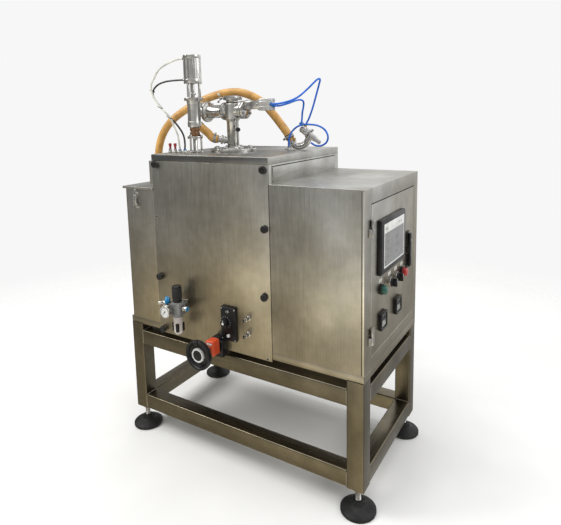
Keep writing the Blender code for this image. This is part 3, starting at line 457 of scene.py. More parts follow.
def block(x, y, z, soft=0.0006, segments=2):
    """A box from three (low, high) pairs."""
    bm = bmesh.new()
    bmesh.ops.create_cube(bm, size=1)
    size = [high - low for low, high in (x, y, z)]
    middle = [(high + low) / 2 for low, high in (x, y, z)]
    bmesh.ops.scale(bm, verts=bm.verts, vec=size)
    bmesh.ops.translate(bm, verts=bm.verts, vec=middle)
    return soften(bm, soft, segments)


def turned(profile, base, direction=(0, 0, 1), sides=40, soft=0.0004):
    """A solid of revolution: profile is (radius, height) pairs along direction from base."""
    bm = bmesh.new()
    rings = []
    for radius, height in profile:
        count = 1 if radius == 0 else sides
        angles = [tau * i / sides for i in range(count)]
        rings.append([bm.verts.new((radius * cos(a), radius * sin(a), height)) for a in angles])
    pairs = list(zip(rings, rings[1:]))
    if len(rings[0]) > 1 and len(rings[-1]) > 1:
        pairs.append((rings[-1], rings[0]))
    for low, high in pairs:
        for i in range(sides):
            j = (i + 1) % sides
            corners = [low[i % len(low)], low[j % len(low)], high[j % len(high)], high[i % len(high)]]
            bm.faces.new(list(dict.fromkeys(corners)))
    bmesh.ops.recalc_face_normals(bm, faces=bm.faces)
    soften(bm, soft)
    turn = Vector((0, 0, 1)).rotation_difference(Vector(direction)).to_matrix().to_4x4()
    bmesh.ops.transform(bm, matrix=Matrix.Translation(base) @ turn, verts=bm.verts)
    return bm


print("a softened block has", len(block((0, 1), (0, 1), (0, 1), 0.1).faces), "faces")

# %% [markdown]
# A rod, a nut and a ring are turnings between two points, which suits a fitting that is known by
# its two ends. A nut is a rod with six sides, so it needs no shape of its own.

# %% Rods, nuts, rings and screw heads
def rod(radius, start, end, sides=32, soft=0.0004):
    axis = Vector(end) - Vector(start)
    return turned([(0, 0), (radius, 0), (radius, axis.length), (0, axis.length)], start, axis, sides, soft)


def nut(across, start, end, soft=0.0004):
    """A hexagonal nut or bolt head, given across its flats."""
    return rod(across / sqrt(3), start, end, 6, soft)


def ring(inner, outer, start, end, sides=40, soft=0.0003):
    axis = Vector(end) - Vector(start)
    return turned([(inner, 0), (outer, 0), (outer, axis.length), (inner, axis.length)], start, axis, sides,
                  soft)


def cap_screw(place, direction, radius=0.0026, height=0.0016):
    """A round screw head with a drive hole sunk in it."""
    profile = [(0, -0.001), (radius, -0.001), (radius, height * 0.55), (radius * 0.7, height),
               (radius * 0.42, height), (radius * 0.36, height * 0.3), (0, height * 0.3)]
    return turned(profile, place, direction, 20, 0.0001)


print("a screw head has", len(cap_screw((0, 0, 0), (0, 0, 1)).faces), "faces")

# %% [markdown]
# Two shapes of sheet metal come back all over the machine: a flat plate with a window in it, and a
# folded box with one side open. Both have a true wall thickness, because doors and lids open. A
# Solidify modifier could give a bare box its thickness, but here the rim is a real face too.

# %% Sheet metal
def frame_plate(axis, span, outer, hole, soft=0.0006):
    """A flat plate with a rectangular opening; span is its (low, high) along the axis."""
    bm = bmesh.new()
    corners = []
    for (u0, v0), (u1, v1) in (outer, hole):
        corners.append([(u0, v0), (u1, v0), (u1, v1), (u0, v1)])
    levels = []
    for at in span:
        loops = [[], []]
        for loop, points in zip(loops, corners):
            for u, v in points:
                place = [u, v]
                place.insert(axis, at)
                loop.append(bm.verts.new(place))
        levels.append(loops)
    (out_a, in_a), (out_b, in_b) = levels
    for i in range(4):
        j = (i + 1) % 4
        bm.faces.new((out_a[i], out_a[j], in_a[j], in_a[i]))
        bm.faces.new((out_b[j], out_b[i], in_b[i], in_b[j]))
        bm.faces.new((out_a[j], out_a[i], out_b[i], out_b[j]))
        bm.faces.new((in_a[i], in_a[j], in_b[j], in_b[i]))
    bmesh.ops.recalc_face_normals(bm, faces=bm.faces)
    return soften(bm, soft)


def shell(x, y, z, wall, open_side, soft=0.002):
    """A folded sheet box, open on one side: 0 to 5 for -X, +X, -Y, +Y, -Z, +Z."""
    spans = [list(x), list(y), list(z)]
    inner = [[low + wall, high - wall] for low, high in spans]
    axis, far = divmod(open_side, 2)
    inner[axis][far] = spans[axis][far]
    bm = bmesh.new()
    loops = []
    for box in (spans, inner):
        made = {}
        for i in (0, 1):
            for j in (0, 1):
                for k in (0, 1):
                    made[i, j, k] = bm.verts.new((box[0][i], box[1][j], box[2][k]))
        loops.append(made)
    for made in loops:
        for a in range(3):
            for side in (0, 1):
                if (a, side) == (axis, far):
                    continue
                ring_keys = []
                for p, q in ((0, 0), (1, 0), (1, 1), (0, 1)):
                    key = [p, q]
                    key.insert(a, side)
                    ring_keys.append(tuple(key))
                bm.faces.new([made[key] for key in ring_keys])
    rim = []
    for p, q in ((0, 0), (1, 0), (1, 1), (0, 1)):
        key = [p, q]
        key.insert(axis, far)
        rim.append(tuple(key))
    for i in range(4):
        a, b = rim[i], rim[(i + 1) % 4]
        bm.faces.new((loops[0][a], loops[0][b], loops[1][b], loops[1][a]))
    bmesh.ops.recalc_face_normals(bm, faces=bm.faces)
    return soften(bm, soft, 3)


print("an open box has", len(shell((0, 1), (0, 1), (0, 1), 0.1, 5, 0.01).faces), "faces")

# %% [markdown]
# Anything bent is swept along a path. The path is a smooth curve through a few points, stepped out
# evenly, and a ring of vertices is carried along it.

# %% Paths and swept tubes
def through_points(points, spacing):
    """A smooth curve through the points, straight at its first and last stub, evenly spaced."""
    points = [Vector(p) for p in points]
    fine = []
    for a, b, c, d in zip(points, points[1:], points[2:], points[3:]):
        for t in np.linspace(0, 1, 24, endpoint=False):
            fine.append(0.5 * (2 * b + (c - a) * t + (2 * a - 5 * b + 4 * c - d) * t ** 2
                               + (3 * b - a - 3 * c + d) * t ** 3))
    fine.append(points[-2])
    walked = np.concatenate([[0], np.cumsum([(q - p).length for p, q in zip(fine, fine[1:])])])
    count = max(2, int(round(walked[-1] / spacing)) + 1)
    wanted = np.linspace(0, walked[-1], count)
    columns = [np.interp(wanted, walked, [p[axis] for p in fine]) for axis in range(3)]
    return [points[0], *[Vector(p) for p in zip(*columns)], points[-1]]


def swept(path, radius, sides=24):
    """A round tube along a path with closed ends; its UV runs round it and along it."""
    bm = bmesh.new()
    layer = bm.loops.layers.uv.new("UVMap")
    tangents = [(b - a).normalized() for a, b in zip([path[0], *path[:-1]], [*path[1:], path[-1]])
                if (b - a).length > 0]
    side = tangents[0].orthogonal().normalized()
    rings, reach = [], [0.0]
    for i, (place, tangent) in enumerate(zip(path, tangents)):
        side = (side - tangent * side.dot(tangent)).normalized()
        other = tangent.cross(side)
        angles = [tau * k / sides for k in range(sides)]
        rings.append([bm.verts.new(place + radius * (cos(a) * side + sin(a) * other)) for a in angles])
        if i:
            reach.append(reach[-1] + (place - path[i - 1]).length)
    for i, (low, high) in enumerate(zip(rings, rings[1:])):
        for k in range(sides):
            j = (k + 1) % sides
            face = bm.faces.new((low[k], low[j], high[j], high[k]))
            around = [k / sides, (k + 1) / sides, (k + 1) / sides, k / sides]
            far = [reach[i], reach[i], reach[i + 1], reach[i + 1]]
            for loop, u, v in zip(face.loops, around, far):
                loop[layer].uv = (u * 3, v / (tau * radius) * 3)
    bm.faces.new(list(reversed(rings[0])))
    bm.faces.new(rings[-1])
    return bm


sample = through_points([(0, 0, 0), (0.1, 0, 0), (0.1, 0.1, 0), (0, 0.1, 0)], 0.01)
print("a short bend has", len(sample), "points")

# %% Gathering shapes into a piece
made_pieces = []


def make(name, finish, body, shapes, replaces=()):
    """One named object from its shapes, in the stand's coordinates."""
    whole = bmesh.new()
    for shape in shapes:
        held = bpy.data.meshes.new("held")
        shape.to_mesh(held)
        shape.free()
        whole.from_mesh(held)
        bpy.data.meshes.remove(held)
    bmesh.ops.transform(whole, matrix=TO_WORLD, verts=whole.verts)
    mesh = bpy.data.meshes.new(name)
    whole.to_mesh(mesh)
    whole.free()
    mesh.shade_smooth()
    mesh.set_sharp_from_angle(angle=radians(42))
    mesh.materials.append(FINISH[finish])
    piece = bpy.data.objects.new(name, mesh)
    bpy.context.collection.objects.link(piece)
    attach(piece, body)
    if replaces:
        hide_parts(*replaces)
    made_pieces.append(name)
    print(f"{name}: {len(mesh.polygons)} faces, on {body}")
    return piece


def fixed(name, finish, shapes, replaces=()):
    """A piece that stands still, so it rides on the machine itself."""
    return make(name, finish, "machine", shapes, replaces)


# %% [markdown]
# ## Hoses and air tubes
# These come before the metal, because their length and their route decide how much room the
# machine takes. Each follows a list of points given along the real run, and a smooth curve joins
# them. A curve object with a round bevel would be quick, but a braid needs to know which way is
# round and which is along, so each tube is swept as a mesh with those two directions stored.

# %% Routes
OUTLET = (-0.0166, 0.188, 0.47)
HOSE_RADIUS, AIR_RADIUS = 0.0135, 0.003
PLATE_TOP = 0.979
GAP = 0.0003
JUMPER_START = Vector((0.212, 0.15, 1.07))
JUMPER_IN = Vector((0.78, 0, -0.62)).normalized()
JUMPER_END = Vector((0.284, 0.1655, 1.0195))
JUMPER_OUT = Vector((0.88, 0.45, -0.15)).normalized()
HOSE_END = Vector((0.486, 0.2985, 1.009))
HOSE_OUT = Vector((0.46, 0.16, -0.873)).normalized()

ROUTES = {
    "product_hose": [
        (OUTLET[0], OUTLET[1], OUTLET[2] + 0.025 + GAP), (OUTLET[0], 0.188, 0.56), (OUTLET[0], 0.188, 0.68),
        (OUTLET[0], 0.188, 0.8), (OUTLET[0], 0.188, 0.9), (-0.012, 0.188, 0.972), (0.007, 0.192, 1.031),
        (0.044, 0.2, 1.079), (0.1, 0.212, 1.117), (0.17, 0.223, 1.148), (0.238, 0.234, 1.168),
        (0.3, 0.245, 1.174), (0.35, 0.254, 1.163), (0.396, 0.265, 1.136), (0.429, 0.275, 1.099),
        (0.454, 0.286, 1.063), HOSE_END - HOSE_OUT * 0.028, HOSE_END - HOSE_OUT * GAP],
    "jumper_hose": [
        JUMPER_START + JUMPER_IN * GAP, JUMPER_START + JUMPER_IN * 0.02, (0.252, 0.1545, 1.0385),
        JUMPER_END - JUMPER_OUT * 0.018, JUMPER_END - JUMPER_OUT * GAP],
    "black_air_tube": [
        (0.205, 0.098, 1.213), (0.186, 0.098, 1.213), (0.136, 0.095, 1.212), (0.102, 0.092, 1.205),
        (0.081, 0.09, 1.192), (0.074, 0.088, 1.176), (0.084, 0.086, 1.155), (0.124, 0.084, 1.116),
        (0.176, 0.082, 1.074), (0.206, 0.081, 1.038), (0.22, 0.072, 1.004),
        (0.221, 0.069, PLATE_TOP + 0.012)],
    "clear_air_tube": [
        (0.206, 0.098, 1.279), (0.181, 0.098, 1.279), (0.143, 0.094, 1.269), (0.106, 0.09, 1.252),
        (0.085, 0.086, 1.224), (0.076, 0.08, 1.201), (0.083, 0.076, 1.171), (0.111, 0.072, 1.138),
        (0.143, 0.07, 1.111), (0.164, 0.07, 1.094), (0.178, 0.07, 1.065), (0.194, 0.07, 1.032),
        (0.199, 0.07, PLATE_TOP + 0.012)],
    "blue_air_tube_upper": [
        (0.4838, 0.18, 1.127), (0.504, 0.187, 1.128), (0.534, 0.203, 1.135), (0.558, 0.22, 1.148),
        (0.579, 0.238, 1.17), (0.594, 0.252, 1.189), (0.602, 0.262, 1.1995), (0.6075, 0.269, 1.2005),
        (0.6025, 0.275, 1.19), (0.586, 0.285, 1.154), (0.568, 0.293, 1.112), (0.551, 0.298, 1.078),
        (0.54, 0.3, 1.062)],
    "blue_air_tube_lower": [
        (0.484, 0.196, 1.122), (0.498, 0.204, 1.122), (0.52, 0.222, 1.129), (0.534, 0.243, 1.137),
        (0.542, 0.26, 1.1395), (0.544, 0.276, 1.135), (0.539, 0.287, 1.122), (0.529, 0.297, 1.1),
        (0.525, 0.301, 1.08), (0.524, 0.3, 1.068)],
    "blue_air_tube_loop": [
        (0.489, 0.276, PLATE_TOP + 0.014), (0.489, 0.276, 1.01), (0.493, 0.278, 1.029),
        (0.503, 0.281, 1.044),
        (0.52, 0.283, 1.056), (0.542, 0.284, 1.061), (0.565, 0.284, 1.061), (0.589, 0.283, 1.058),
        (0.612, 0.281, 1.048), (0.625, 0.279, 1.034), (0.629, 0.278, 1.019), (0.623, 0.279, 1.005),
        (0.608, 0.282, 0.9955), (0.592, 0.284, 0.993), (0.577, 0.284, 0.996), (0.566, 0.284, 1.003)],
}
# node: finish, radius, step along the route, stiffness, far end, lay
TUBES = {
    "product_hose": ("braid", HOSE_RADIUS, 0.012, "stiff", "object", "loose"),
    "jumper_hose": ("braid", HOSE_RADIUS, 0.006, "stiff", "object", "taut"),
    "black_air_tube": ("black_tube", AIR_RADIUS, 0.006, "medium", "object", "loose"),
    "clear_air_tube": ("clear_tube", AIR_RADIUS, 0.006, "medium", "object", "loose"),
    "blue_air_tube_upper": ("blue_tube", AIR_RADIUS, 0.005, "medium", "object", "loose"),
    "blue_air_tube_lower": ("blue_tube", AIR_RADIUS, 0.005, "medium", "object", "loose"),
    "blue_air_tube_loop": ("blue_tube", AIR_RADIUS, 0.005, "medium", "bare", "loose"),
}
print("points on each route:", {name: len(points) for name, points in ROUTES.items()})

# The jumper hose is only a few diameters long and clipped at both ends, so it holds its shape like
# a bent pipe.

# %% Sweep each one into a piece
for name, (finish, radius, step, stiffness, far_end, lay) in TUBES.items():
    path = through_points(ROUTES[name], step)
    tube = fixed(name + "_run", finish, [swept(path, radius, 28 if radius > 0.01 else 16)], [name])

# %% [markdown]
# ## The stand
# The stand is 50 mm square tube, welded. Drawn tube has a corner radius a little over its wall, so
# the long edges get 4 mm. Where two tubes meet there is a weld: a row of small overlapping beads,
# which a short swept line with a rippled radius gives.

# %% Square tube and weld bead
TUBE = 0.05
WIDTH, DEPTH = 0.86, 0.46
LEG_BOTTOM, LEG_TOP = 0.075, 0.39
RAILS = {"lower": (0.077, 0.127), "upper": (0.316, 0.366)}
SIDES = {"left": (0, TUBE), "right": (WIDTH - TUBE, WIDTH)}
ENDS = {"front": (0, TUBE), "back": (DEPTH - TUBE, DEPTH)}
CORNER, INSET = 0.004, 0.0012           # the tube's corner radius, and how far a bead sits in


def square_tube(x, y, z, along):
    """A closed square tube whose four long edges are rounded."""
    bm = bmesh.new()
    bmesh.ops.create_cube(bm, size=1)
    spans = (x, y, z)
    bmesh.ops.scale(bm, verts=bm.verts, vec=[high - low for low, high in spans])
    bmesh.ops.translate(bm, verts=bm.verts, vec=[(high + low) / 2 for low, high in spans])
    across = [a for a in range(3) if a != along]
    long_edges = [e for e in bm.edges
                  if all(abs(e.verts[0].co[a] - e.verts[1].co[a]) < 1e-6 for a in across)]
    bmesh.ops.bevel(bm, geom=long_edges, offset=CORNER, segments=4, profile=0.5, affect="EDGES")
    return bm


def weld(start, end, radius=0.0022, pitch=0.003):
    """A fillet of small overlapping beads along a straight seam."""
    axis = Vector(end) - Vector(start)
    steps = max(4, int(axis.length / pitch) * 4)
    profile = [(0, 0)]
    for i in range(steps + 1):
        profile.append((radius * (0.8 + 0.2 * abs(sin(pi * i / 4))), axis.length * i / steps))
    profile.append((0, axis.length))
    return turned(profile, start, axis, 8, 0)


print("a weld one tube long has", len(weld((0, 0, 0), (TUBE, 0, 0)).faces), "faces")

# %% [markdown]
# Four legs stand between the rails, and each rail's end is welded all round to a leg. The loops
# name each tube by its height, end and side, which is also how the parts list names it.

# %% The welded frame
for side, x in SIDES.items():
    for end, y in ENDS.items():
        name = f"leg_{end}_{side}"
        fixed(name + "_tube", "tube_up", [square_tube(x, y, (LEG_BOTTOM, LEG_TOP), 2)], [name])

beads = []
for level_name, height in RAILS.items():
    for end, y in ENDS.items():
        name = f"{level_name}_rail_{end}"
        fixed(name + "_tube", "tube_across",
             [square_tube((TUBE + GAP, WIDTH - TUBE - GAP), y, height, 0)], [name])
    for side, x in SIDES.items():
        name = f"{level_name}_rail_{side}"
        fixed(name + "_tube", "tube_deep",
             [square_tube(x, (TUBE + GAP, DEPTH - TUBE - GAP), height, 1)], [name])
    for x in (TUBE, WIDTH - TUBE):
        for y in (INSET, TUBE - INSET, DEPTH - TUBE + INSET, DEPTH - INSET):
            beads.append(weld((x, y, height[0] + CORNER), (x, y, height[1] - CORNER)))
        for y in (ENDS["front"], ENDS["back"]):
            for z in height:
                beads.append(weld((x, y[0] + CORNER, z), (x, y[1] - CORNER, z)))
    for y in (TUBE, DEPTH - TUBE):
        for x in (INSET, TUBE - INSET, WIDTH - TUBE + INSET, WIDTH - INSET):
            beads.append(weld((x, y, height[0] + CORNER), (x, y, height[1] - CORNER)))
        for x in (SIDES["left"], SIDES["right"]):
            for z in height:
                beads.append(weld((x[0] + CORNER, y, z), (x[1] - CORNER, y, z)))
print("welds", len(beads))
fixed("frame_welds", "weld", beads)

# %% [markdown]
# Each levelling foot is a moulded pad on a threaded stud. Turning the foot raises that corner, and
# the lock nut then holds it. A thread could be a spiral made with a Screw modifier. At this size a
# stack of fine rings reads the same and keeps the mesh light.

# %% Levelling feet
def threaded(base, direction, length, radius, pitch=0.0016):
    """A stud with its thread shown as fine rings."""
    profile = [(0, 0), (radius * 0.88, 0)]
    for i in range(int(length / pitch)):
        profile += [(radius * 0.88, i * pitch + pitch * 0.15), (radius, i * pitch + pitch * 0.5),
                    (radius * 0.88, i * pitch + pitch * 0.85)]
    profile += [(radius * 0.88, length), (0, length)]
    return turned(profile, base, direction, 24, 0)


PAD = [(0, 0), (0.049, 0), (0.05, 0.0015), (0.05, 0.0085), (0.047, 0.0115), (0.034, 0.0155), (0.0235, 0.02),
       (0.0185, 0.0262), (0.015, 0.034), (0, 0.034)]
for side, x in SIDES.items():
    for end, y in ENDS.items():
        middle = (sum(x) / 2, sum(y) / 2)
        body = f"foot_{end}_{side}"
        pad_ribs = [block((middle[0] + 0.019 * cos(a) - 0.0015, middle[0] + 0.019 * cos(a) + 0.0015),
                          (middle[1] + 0.019 * sin(a) - 0.0015, middle[1] + 0.019 * sin(a) + 0.0015),
                          (0.017, 0.03), 0.0004)
                    for a in (tau * k / 8 for k in range(8))]
        make(f"levelling_pad_{end}_{side}", "rubber", body,
             [turned(PAD, (*middle, 0), sides=56), *pad_ribs],
             [f"levelling_foot_{end}_{side}"])
        stud = threaded((*middle, 0.034), (0, 0, 1), 0.064, 0.008)
        lock_nut = nut(0.0235, (*middle, 0.062), (*middle, 0.0742), 0.0008)
        make(f"levelling_stud_{end}_{side}", "zinc", body,
             [stud, lock_nut, ring(0.0085, 0.0135, (*middle, 0.0742), (*middle, 0.0748))])
        fixed(f"leg_plug_{end}_{side}", "zinc",
             [frame_plate(2, (LEG_BOTTOM + 0.0004, LEG_BOTTOM + 0.0055),
                          ((x[0] + 0.002, y[0] + 0.002), (x[1] - 0.002, y[1] - 0.002)),
                          ((middle[0] - 0.0085, middle[1] - 0.0085),
                           (middle[0] + 0.0085, middle[1] + 0.0085)))])

# %% [markdown]
# ## Cabinet, tray and top plate
# The middle cabinet is folded from 2 mm sheet. Its front is a separate panel held by six black knob
# screws, so that the pump can be reached. The top plate is a tray turned upside down over it.
# Folded corners get a 2 mm radius, and every seam between two sheets is left as a thin gap, which
# is what makes sheet metal read as separate parts. Some seams also get a near-black strip, a
# painted shadow.

# %% Tray
TRAY = (0.3903, 0.4117)
CABINET_X = (0.138, 0.58)
SHEET = 0.002
STROKE = (0.397, 0.409)


def stroke(y):
    """A point on the stroke screw's axis."""
    return (STROKE[0], y, STROKE[1])


fixed("base_tray_sheet", "sheet_across",
     [block((0, STROKE[0] - 0.026), (0.0023, 0.0043), TRAY, 0.0006),
      block((STROKE[0] + 0.026, WIDTH), (0.0023, 0.0043), TRAY, 0.0006),
      block((0, WIDTH), (DEPTH - 0.0023, DEPTH - 0.0003), TRAY, 0.0006),
      block((0, 0.002), (0.0023, DEPTH - 0.0003), TRAY, 0.0006),
      block((WIDTH - 0.002, WIDTH), (0.0023, DEPTH - 0.0003), TRAY, 0.0006),
      block((0.0005, STROKE[0] - 0.026), (0.0027, DEPTH - 0.0007), (TRAY[1] - 0.002, TRAY[1]), 0.0004),
      block((STROKE[0] + 0.026, WIDTH - 0.0005), (0.0027, DEPTH - 0.0007), (TRAY[1] - 0.002, TRAY[1]),
            0.0004),
      block((STROKE[0] - 0.027, STROKE[0] + 0.027), (0.31, DEPTH - 0.0007), (TRAY[1] - 0.002, TRAY[1]),
            0.0004)],
     ["base_tray"])

# %% [markdown]
# The housing wraps round both sides and the back, and turns in at the front edges. The access panel
# at the back is guessed. The front fold of the top plate is painted darker than the sheet, a painted
# shade, so that it stands off from the face above it.

# %% Housing, side covers and top plate
housing_z = (0.4123, 0.9577)
fixed("housing_sheet", "sheet_up",
     [block((CABINET_X[0] + GAP, CABINET_X[0] + SHEET), (0.0023, DEPTH), housing_z, 0.0006),
      block((CABINET_X[1] - SHEET, CABINET_X[1]), (0.0023, DEPTH), housing_z, 0.0006),
      block((CABINET_X[0] + GAP, CABINET_X[1]), (DEPTH - SHEET, DEPTH), housing_z, 0.0009),
      block((CABINET_X[0] + GAP, CABINET_X[0] + 0.016), (0.0023, 0.0043), housing_z, 0.0005),
      block((CABINET_X[1] - 0.016, CABINET_X[1]), (0.0023, 0.0043), housing_z, 0.0005)],
     ["centre_housing"])
fixed("side_cover_left", "sheet_deep",
     [shell((0.124, CABINET_X[0] + 0.0002), (0.0023, 0.454), (0.8805, 0.9577), 0.0018, 1, 0.0016)])
fixed("side_panel_right", "sheet_deep",
     [block((CABINET_X[1] - 0.0002, CABINET_X[1] + 0.0014), (0.0245, 0.4305), (0.9062, 0.9505), 0.0007)])
# A near-black strip round the right side panel: painted shadow in its gap.
fixed("side_panel_right_gap_shadow", "dark",
     [block((CABINET_X[1] - 0.0004, CABINET_X[1] + 0.0004), (0.0225, 0.4325), (0.9058, 0.953), 0.0001)])
fixed("side_panel_right_edge", "satin",
     [block((CABINET_X[1] - 0.0002, CABINET_X[1] + 0.002), (0.018, 0.02), (0.906, 0.956), 0.0004)])
REAR_PANEL = ((0.16, 0.44), (0.558, 0.93))
fixed("rear_access_panel", "sheet_up",
     [block((REAR_PANEL[0][0], REAR_PANEL[1][0]), (DEPTH - 0.0002, DEPTH + 0.0014),
            (REAR_PANEL[0][1], REAR_PANEL[1][1]), 0.0006)])
fixed("rear_panel_screws", "satin",
     [cap_screw((x, DEPTH + 0.0014, z), (0, 1, 0), 0.0042, 0.0024)
      for x in (0.172, 0.359, 0.546) for z in (0.452, 0.685, 0.918)])
fixed("top_plate_sheet", "sheet_across",
     [shell(CABINET_X, (0, DEPTH), (0.958, PLATE_TOP), SHEET, 4, 0.0022)], ["top_plate"])
# A darker strip over the front fold: painted shade.
fixed("top_plate_fold_painted_shade", "fold",
     [block((CABINET_X[0] + 0.0008, CABINET_X[1] - 0.0008), (-0.0004, 0.001),
            (0.9585, PLATE_TOP - 0.0022), 0.0002)])

# %% [markdown]
# The front panel carries the whole stroke adjustment. The panel is a flat sheet with its edges
# barely broken. The knob screws are turned with a waist and a knurled rim, so the rim gets a row of
# small teeth instead of a smooth circle.

# %% A ribbed grip
def knurled(base, direction, low, high, radius, teeth=24, depth=0.0007):
    """A ribbed grip: a toothed outline drawn up along a direction."""
    bm = bmesh.new()
    loops = []
    for at in (low, high):
        loop = []
        for i in range(teeth * 4):
            angle = tau * i / (teeth * 4)
            reach = radius - (depth if i % 4 in (2, 3) else 0)
            loop.append(bm.verts.new((reach * cos(angle), reach * sin(angle), at)))
        loops.append(loop)
    for i in range(teeth * 4):
        j = (i + 1) % (teeth * 4)
        bm.faces.new((loops[0][i], loops[0][j], loops[1][j], loops[1][i]))
    bm.faces.new(list(reversed(loops[0])))
    bm.faces.new(loops[1])
    turn = Vector((0, 0, 1)).rotation_difference(Vector(direction)).to_matrix().to_4x4()
    bmesh.ops.transform(bm, matrix=Matrix.Translation(base) @ turn, verts=bm.verts)
    return bm


print("a ribbed grip has", len(knurled((0, 0, 0), (0, 0, 1), 0, 0.006, 0.011).faces), "faces")

# %% [markdown]
# The six screws are not in a neat grid, so each has its own place in a list. Two holes are left
# without a screw.

# %% Front panel and its knob screws
OUT = (0, -1, 0)
KNOB_ROOM = 0.0116                      # from a knob's middle to the cabinet's edge, at least
KNOB_SCREWS = [(max(x, CABINET_X[0] + KNOB_ROOM), z) for x, z in
               ((0.154, 0.947), (0.564, 0.944), (0.565, 0.777), (0.559, 0.576), (0.143, 0.576),
                (0.152, 0.394))]
EMPTY_HOLES = ((0.149, 0.778), (0.564, 0.388))
fixed("front_panel_sheet", "sheet_up",
     [block((CABINET_X[0], CABINET_X[1] - 0.001), (0, SHEET), (0.383, 0.9577), 0.0006)], ["front_panel"])
fixed("stroke_bearing", "black",
     [block((STROKE[0] - 0.019, STROKE[0] + 0.021), (-0.026, 0), (STROKE[1] - 0.0415, 0.418), 0.0015, 3),
      block((STROKE[0] - 0.019, 0.4024), (-0.026, 0), (STROKE[1] - 0.01, STROKE[1] + 0.018), 0.0015, 3)])
screws = []
for x, z in KNOB_SCREWS:
    screws.append(knurled((x, 0, z), OUT, 0.0025, 0.0082, 0.0112, 18, 0.0009))
    screws.append(turned([(0, 0), (0.006, 0), (0.006, 0.0025), (0.0098, 0.003), (0.0098, 0.0088),
                          (0.008, 0.01), (0.0035, 0.01), (0.003, 0.0092), (0, 0.0092)], (x, 0, z), OUT, 28))
fixed("panel_knob_screws", "black", screws)
fixed("panel_knob_washers", "satin",
     [ring(0.004, 0.0085, (x, 0, z), (x, -0.0012, z)) for x, z in KNOB_SCREWS])
# Near-black discs in the two empty holes: painted shadow.
fixed("panel_hole_shadows", "dark",
     [rod(0.0031, (x, -0.0002, z), (x, 0.0012, z), 24, 0) for x, z in EMPTY_HOLES])
fixed("panel_hole_rims", "satin",
     [ring(0.0031, 0.004, (x, 0.0002, z), (x, -0.0003, z)) for x, z in EMPTY_HOLES])

# %% [markdown]
# ## Product tank
# The tank is a deep sheet box with a lid that hinges up towards the cabinet. The lid's front is
# held by a toggle latch: a lever on two ears pulls a wire bail over a hook on the lid. The lid is a
# shallow tray of its own, so it gets folded sides, and the tank keeps its wall thickness because it
# is seen when the lid is up.

# %% Tank, lid, hinge and latch
TANK_X, TANK_Z = (0.012, 0.1377), (0.412, 0.862)
LID_RIGHT = 0.1232
LID_HINGE = (0.1205, 0.8755)
fixed("tank_sheet", "sheet_up",
     [shell(TANK_X, (0, DEPTH), TANK_Z, SHEET, 5, 0.0022),
      block((LID_RIGHT + GAP, TANK_X[1]), (-0.004, DEPTH), (0.861, 0.87), 0.0012, 3)], ["product_tank"])
seam_x = TANK_X[0] + 0.0014
fixed("tank_corner_weld", "weld",
     [weld((seam_x, -0.0002, TANK_Z[0] + 0.004), (seam_x, -0.0002, TANK_Z[1] - 0.006), 0.0007, 0.004)])
make("tank_lid_sheet", "sheet_deep", "lid",
     [shell((0, LID_RIGHT), (-0.004, DEPTH), (0.8623, 0.87), SHEET, 4, 0.002)], ["tank_lid"])
knuckles = {"machine": [], "lid": []}
for y in (0.034, 0.38):
    for body, start, tab, root in (("machine", y, (LID_HINGE[0], 0.133), (0.125, 0.1345)),
                                   ("lid", y + 0.0163, (0.104, LID_HINGE[0]), (0.1, 0.118))):
        ends = (start, start + 0.016)
        knuckles[body] += [rod(0.004, (LID_HINGE[0], ends[0], LID_HINGE[1]),
                               (LID_HINGE[0], ends[1], LID_HINGE[1])),
                           block(tab, ends, (0.8712, 0.8735), 0.0004),
                           block(root, ends, (0.8695, 0.8722), 0.0004)]
fixed("lid_hinge_fixed", "satin", knuckles["machine"])
make("lid_hinge_moving", "satin", "lid", knuckles["lid"])
fixed("latch_plate", "fitting",
     [block((0.0565, 0.0735), (-0.0022, 0.0002), (0.798, 0.852), 0.0008, 3),
      *[block(x, (-0.0125, 0), (0.8065, 0.8165), 0.001, 3) for x in ((0.0566, 0.0594), (0.0706, 0.0734))],
      *[cap_screw((0.065, -0.0022, z), OUT, 0.0019, 0.0012) for z in (0.8025, 0.8485)]])
make("latch_hook", "fitting", "lid",
     [block((0.06, 0.07), (-0.006, -0.0035), (0.8635, 0.8685), 0.0007),
      block((0.061, 0.069), (-0.0105, -0.0055), (0.8642, 0.8664), 0.0006),
      block((0.061, 0.069), (-0.0112, -0.0096), (0.8642, 0.8688), 0.0005)])
latch_bail = [rod(0.0009, (x, -0.0128, 0.819), (x, -0.0122, 0.862), 12) for x in (0.0604, 0.0696)]
latch_bail.append(rod(0.0009, (0.06, -0.0124, 0.8615), (0.07, -0.0124, 0.8615), 12))
make("latch_lever", "fitting", "latch",
     [block((0.0603, 0.0697), (-0.0112, -0.0088), (0.8115, 0.845), 0.0007, 3),
      block((0.0603, 0.0615), (-0.0112, -0.0055), (0.8115, 0.833), 0.0005),
      block((0.0685, 0.0697), (-0.0112, -0.0055), (0.8115, 0.833), 0.0005),
      block((0.061, 0.069), (-0.0148, -0.01), (0.8425, 0.845), 0.0007, 3),
      rod(0.003, (0.06, -0.0085, 0.8115), (0.07, -0.0085, 0.8115), 24), *latch_bail], ["lid_latch"])

# %% [markdown]
# The liquid leaves through an elbow low on the tank's left side. A hygienic joint has two flanges
# with a clamp ring over them, and the hose slips on a barbed tail and is held by a worm clip.

# %% Tank outlet and hose clips
def hose_clip(place, direction, radius, screw_side):
    """A worm-drive clip: a thin band with its screw housing."""
    axis = Vector(direction).normalized()
    place = Vector(place)
    half = axis * 0.0045
    side = Vector(screw_side)
    side = (side - axis * side.dot(axis)).normalized()
    across = axis.cross(side)
    hub = place + side * (radius + 0.003)
    return [ring(radius + 0.0001, radius + 0.0011, place - half, place + half),
            rod(0.0032, hub - across * 0.007, hub + across * 0.007, 20),
            nut(0.0068, hub + across * 0.007, hub + across * 0.011)]


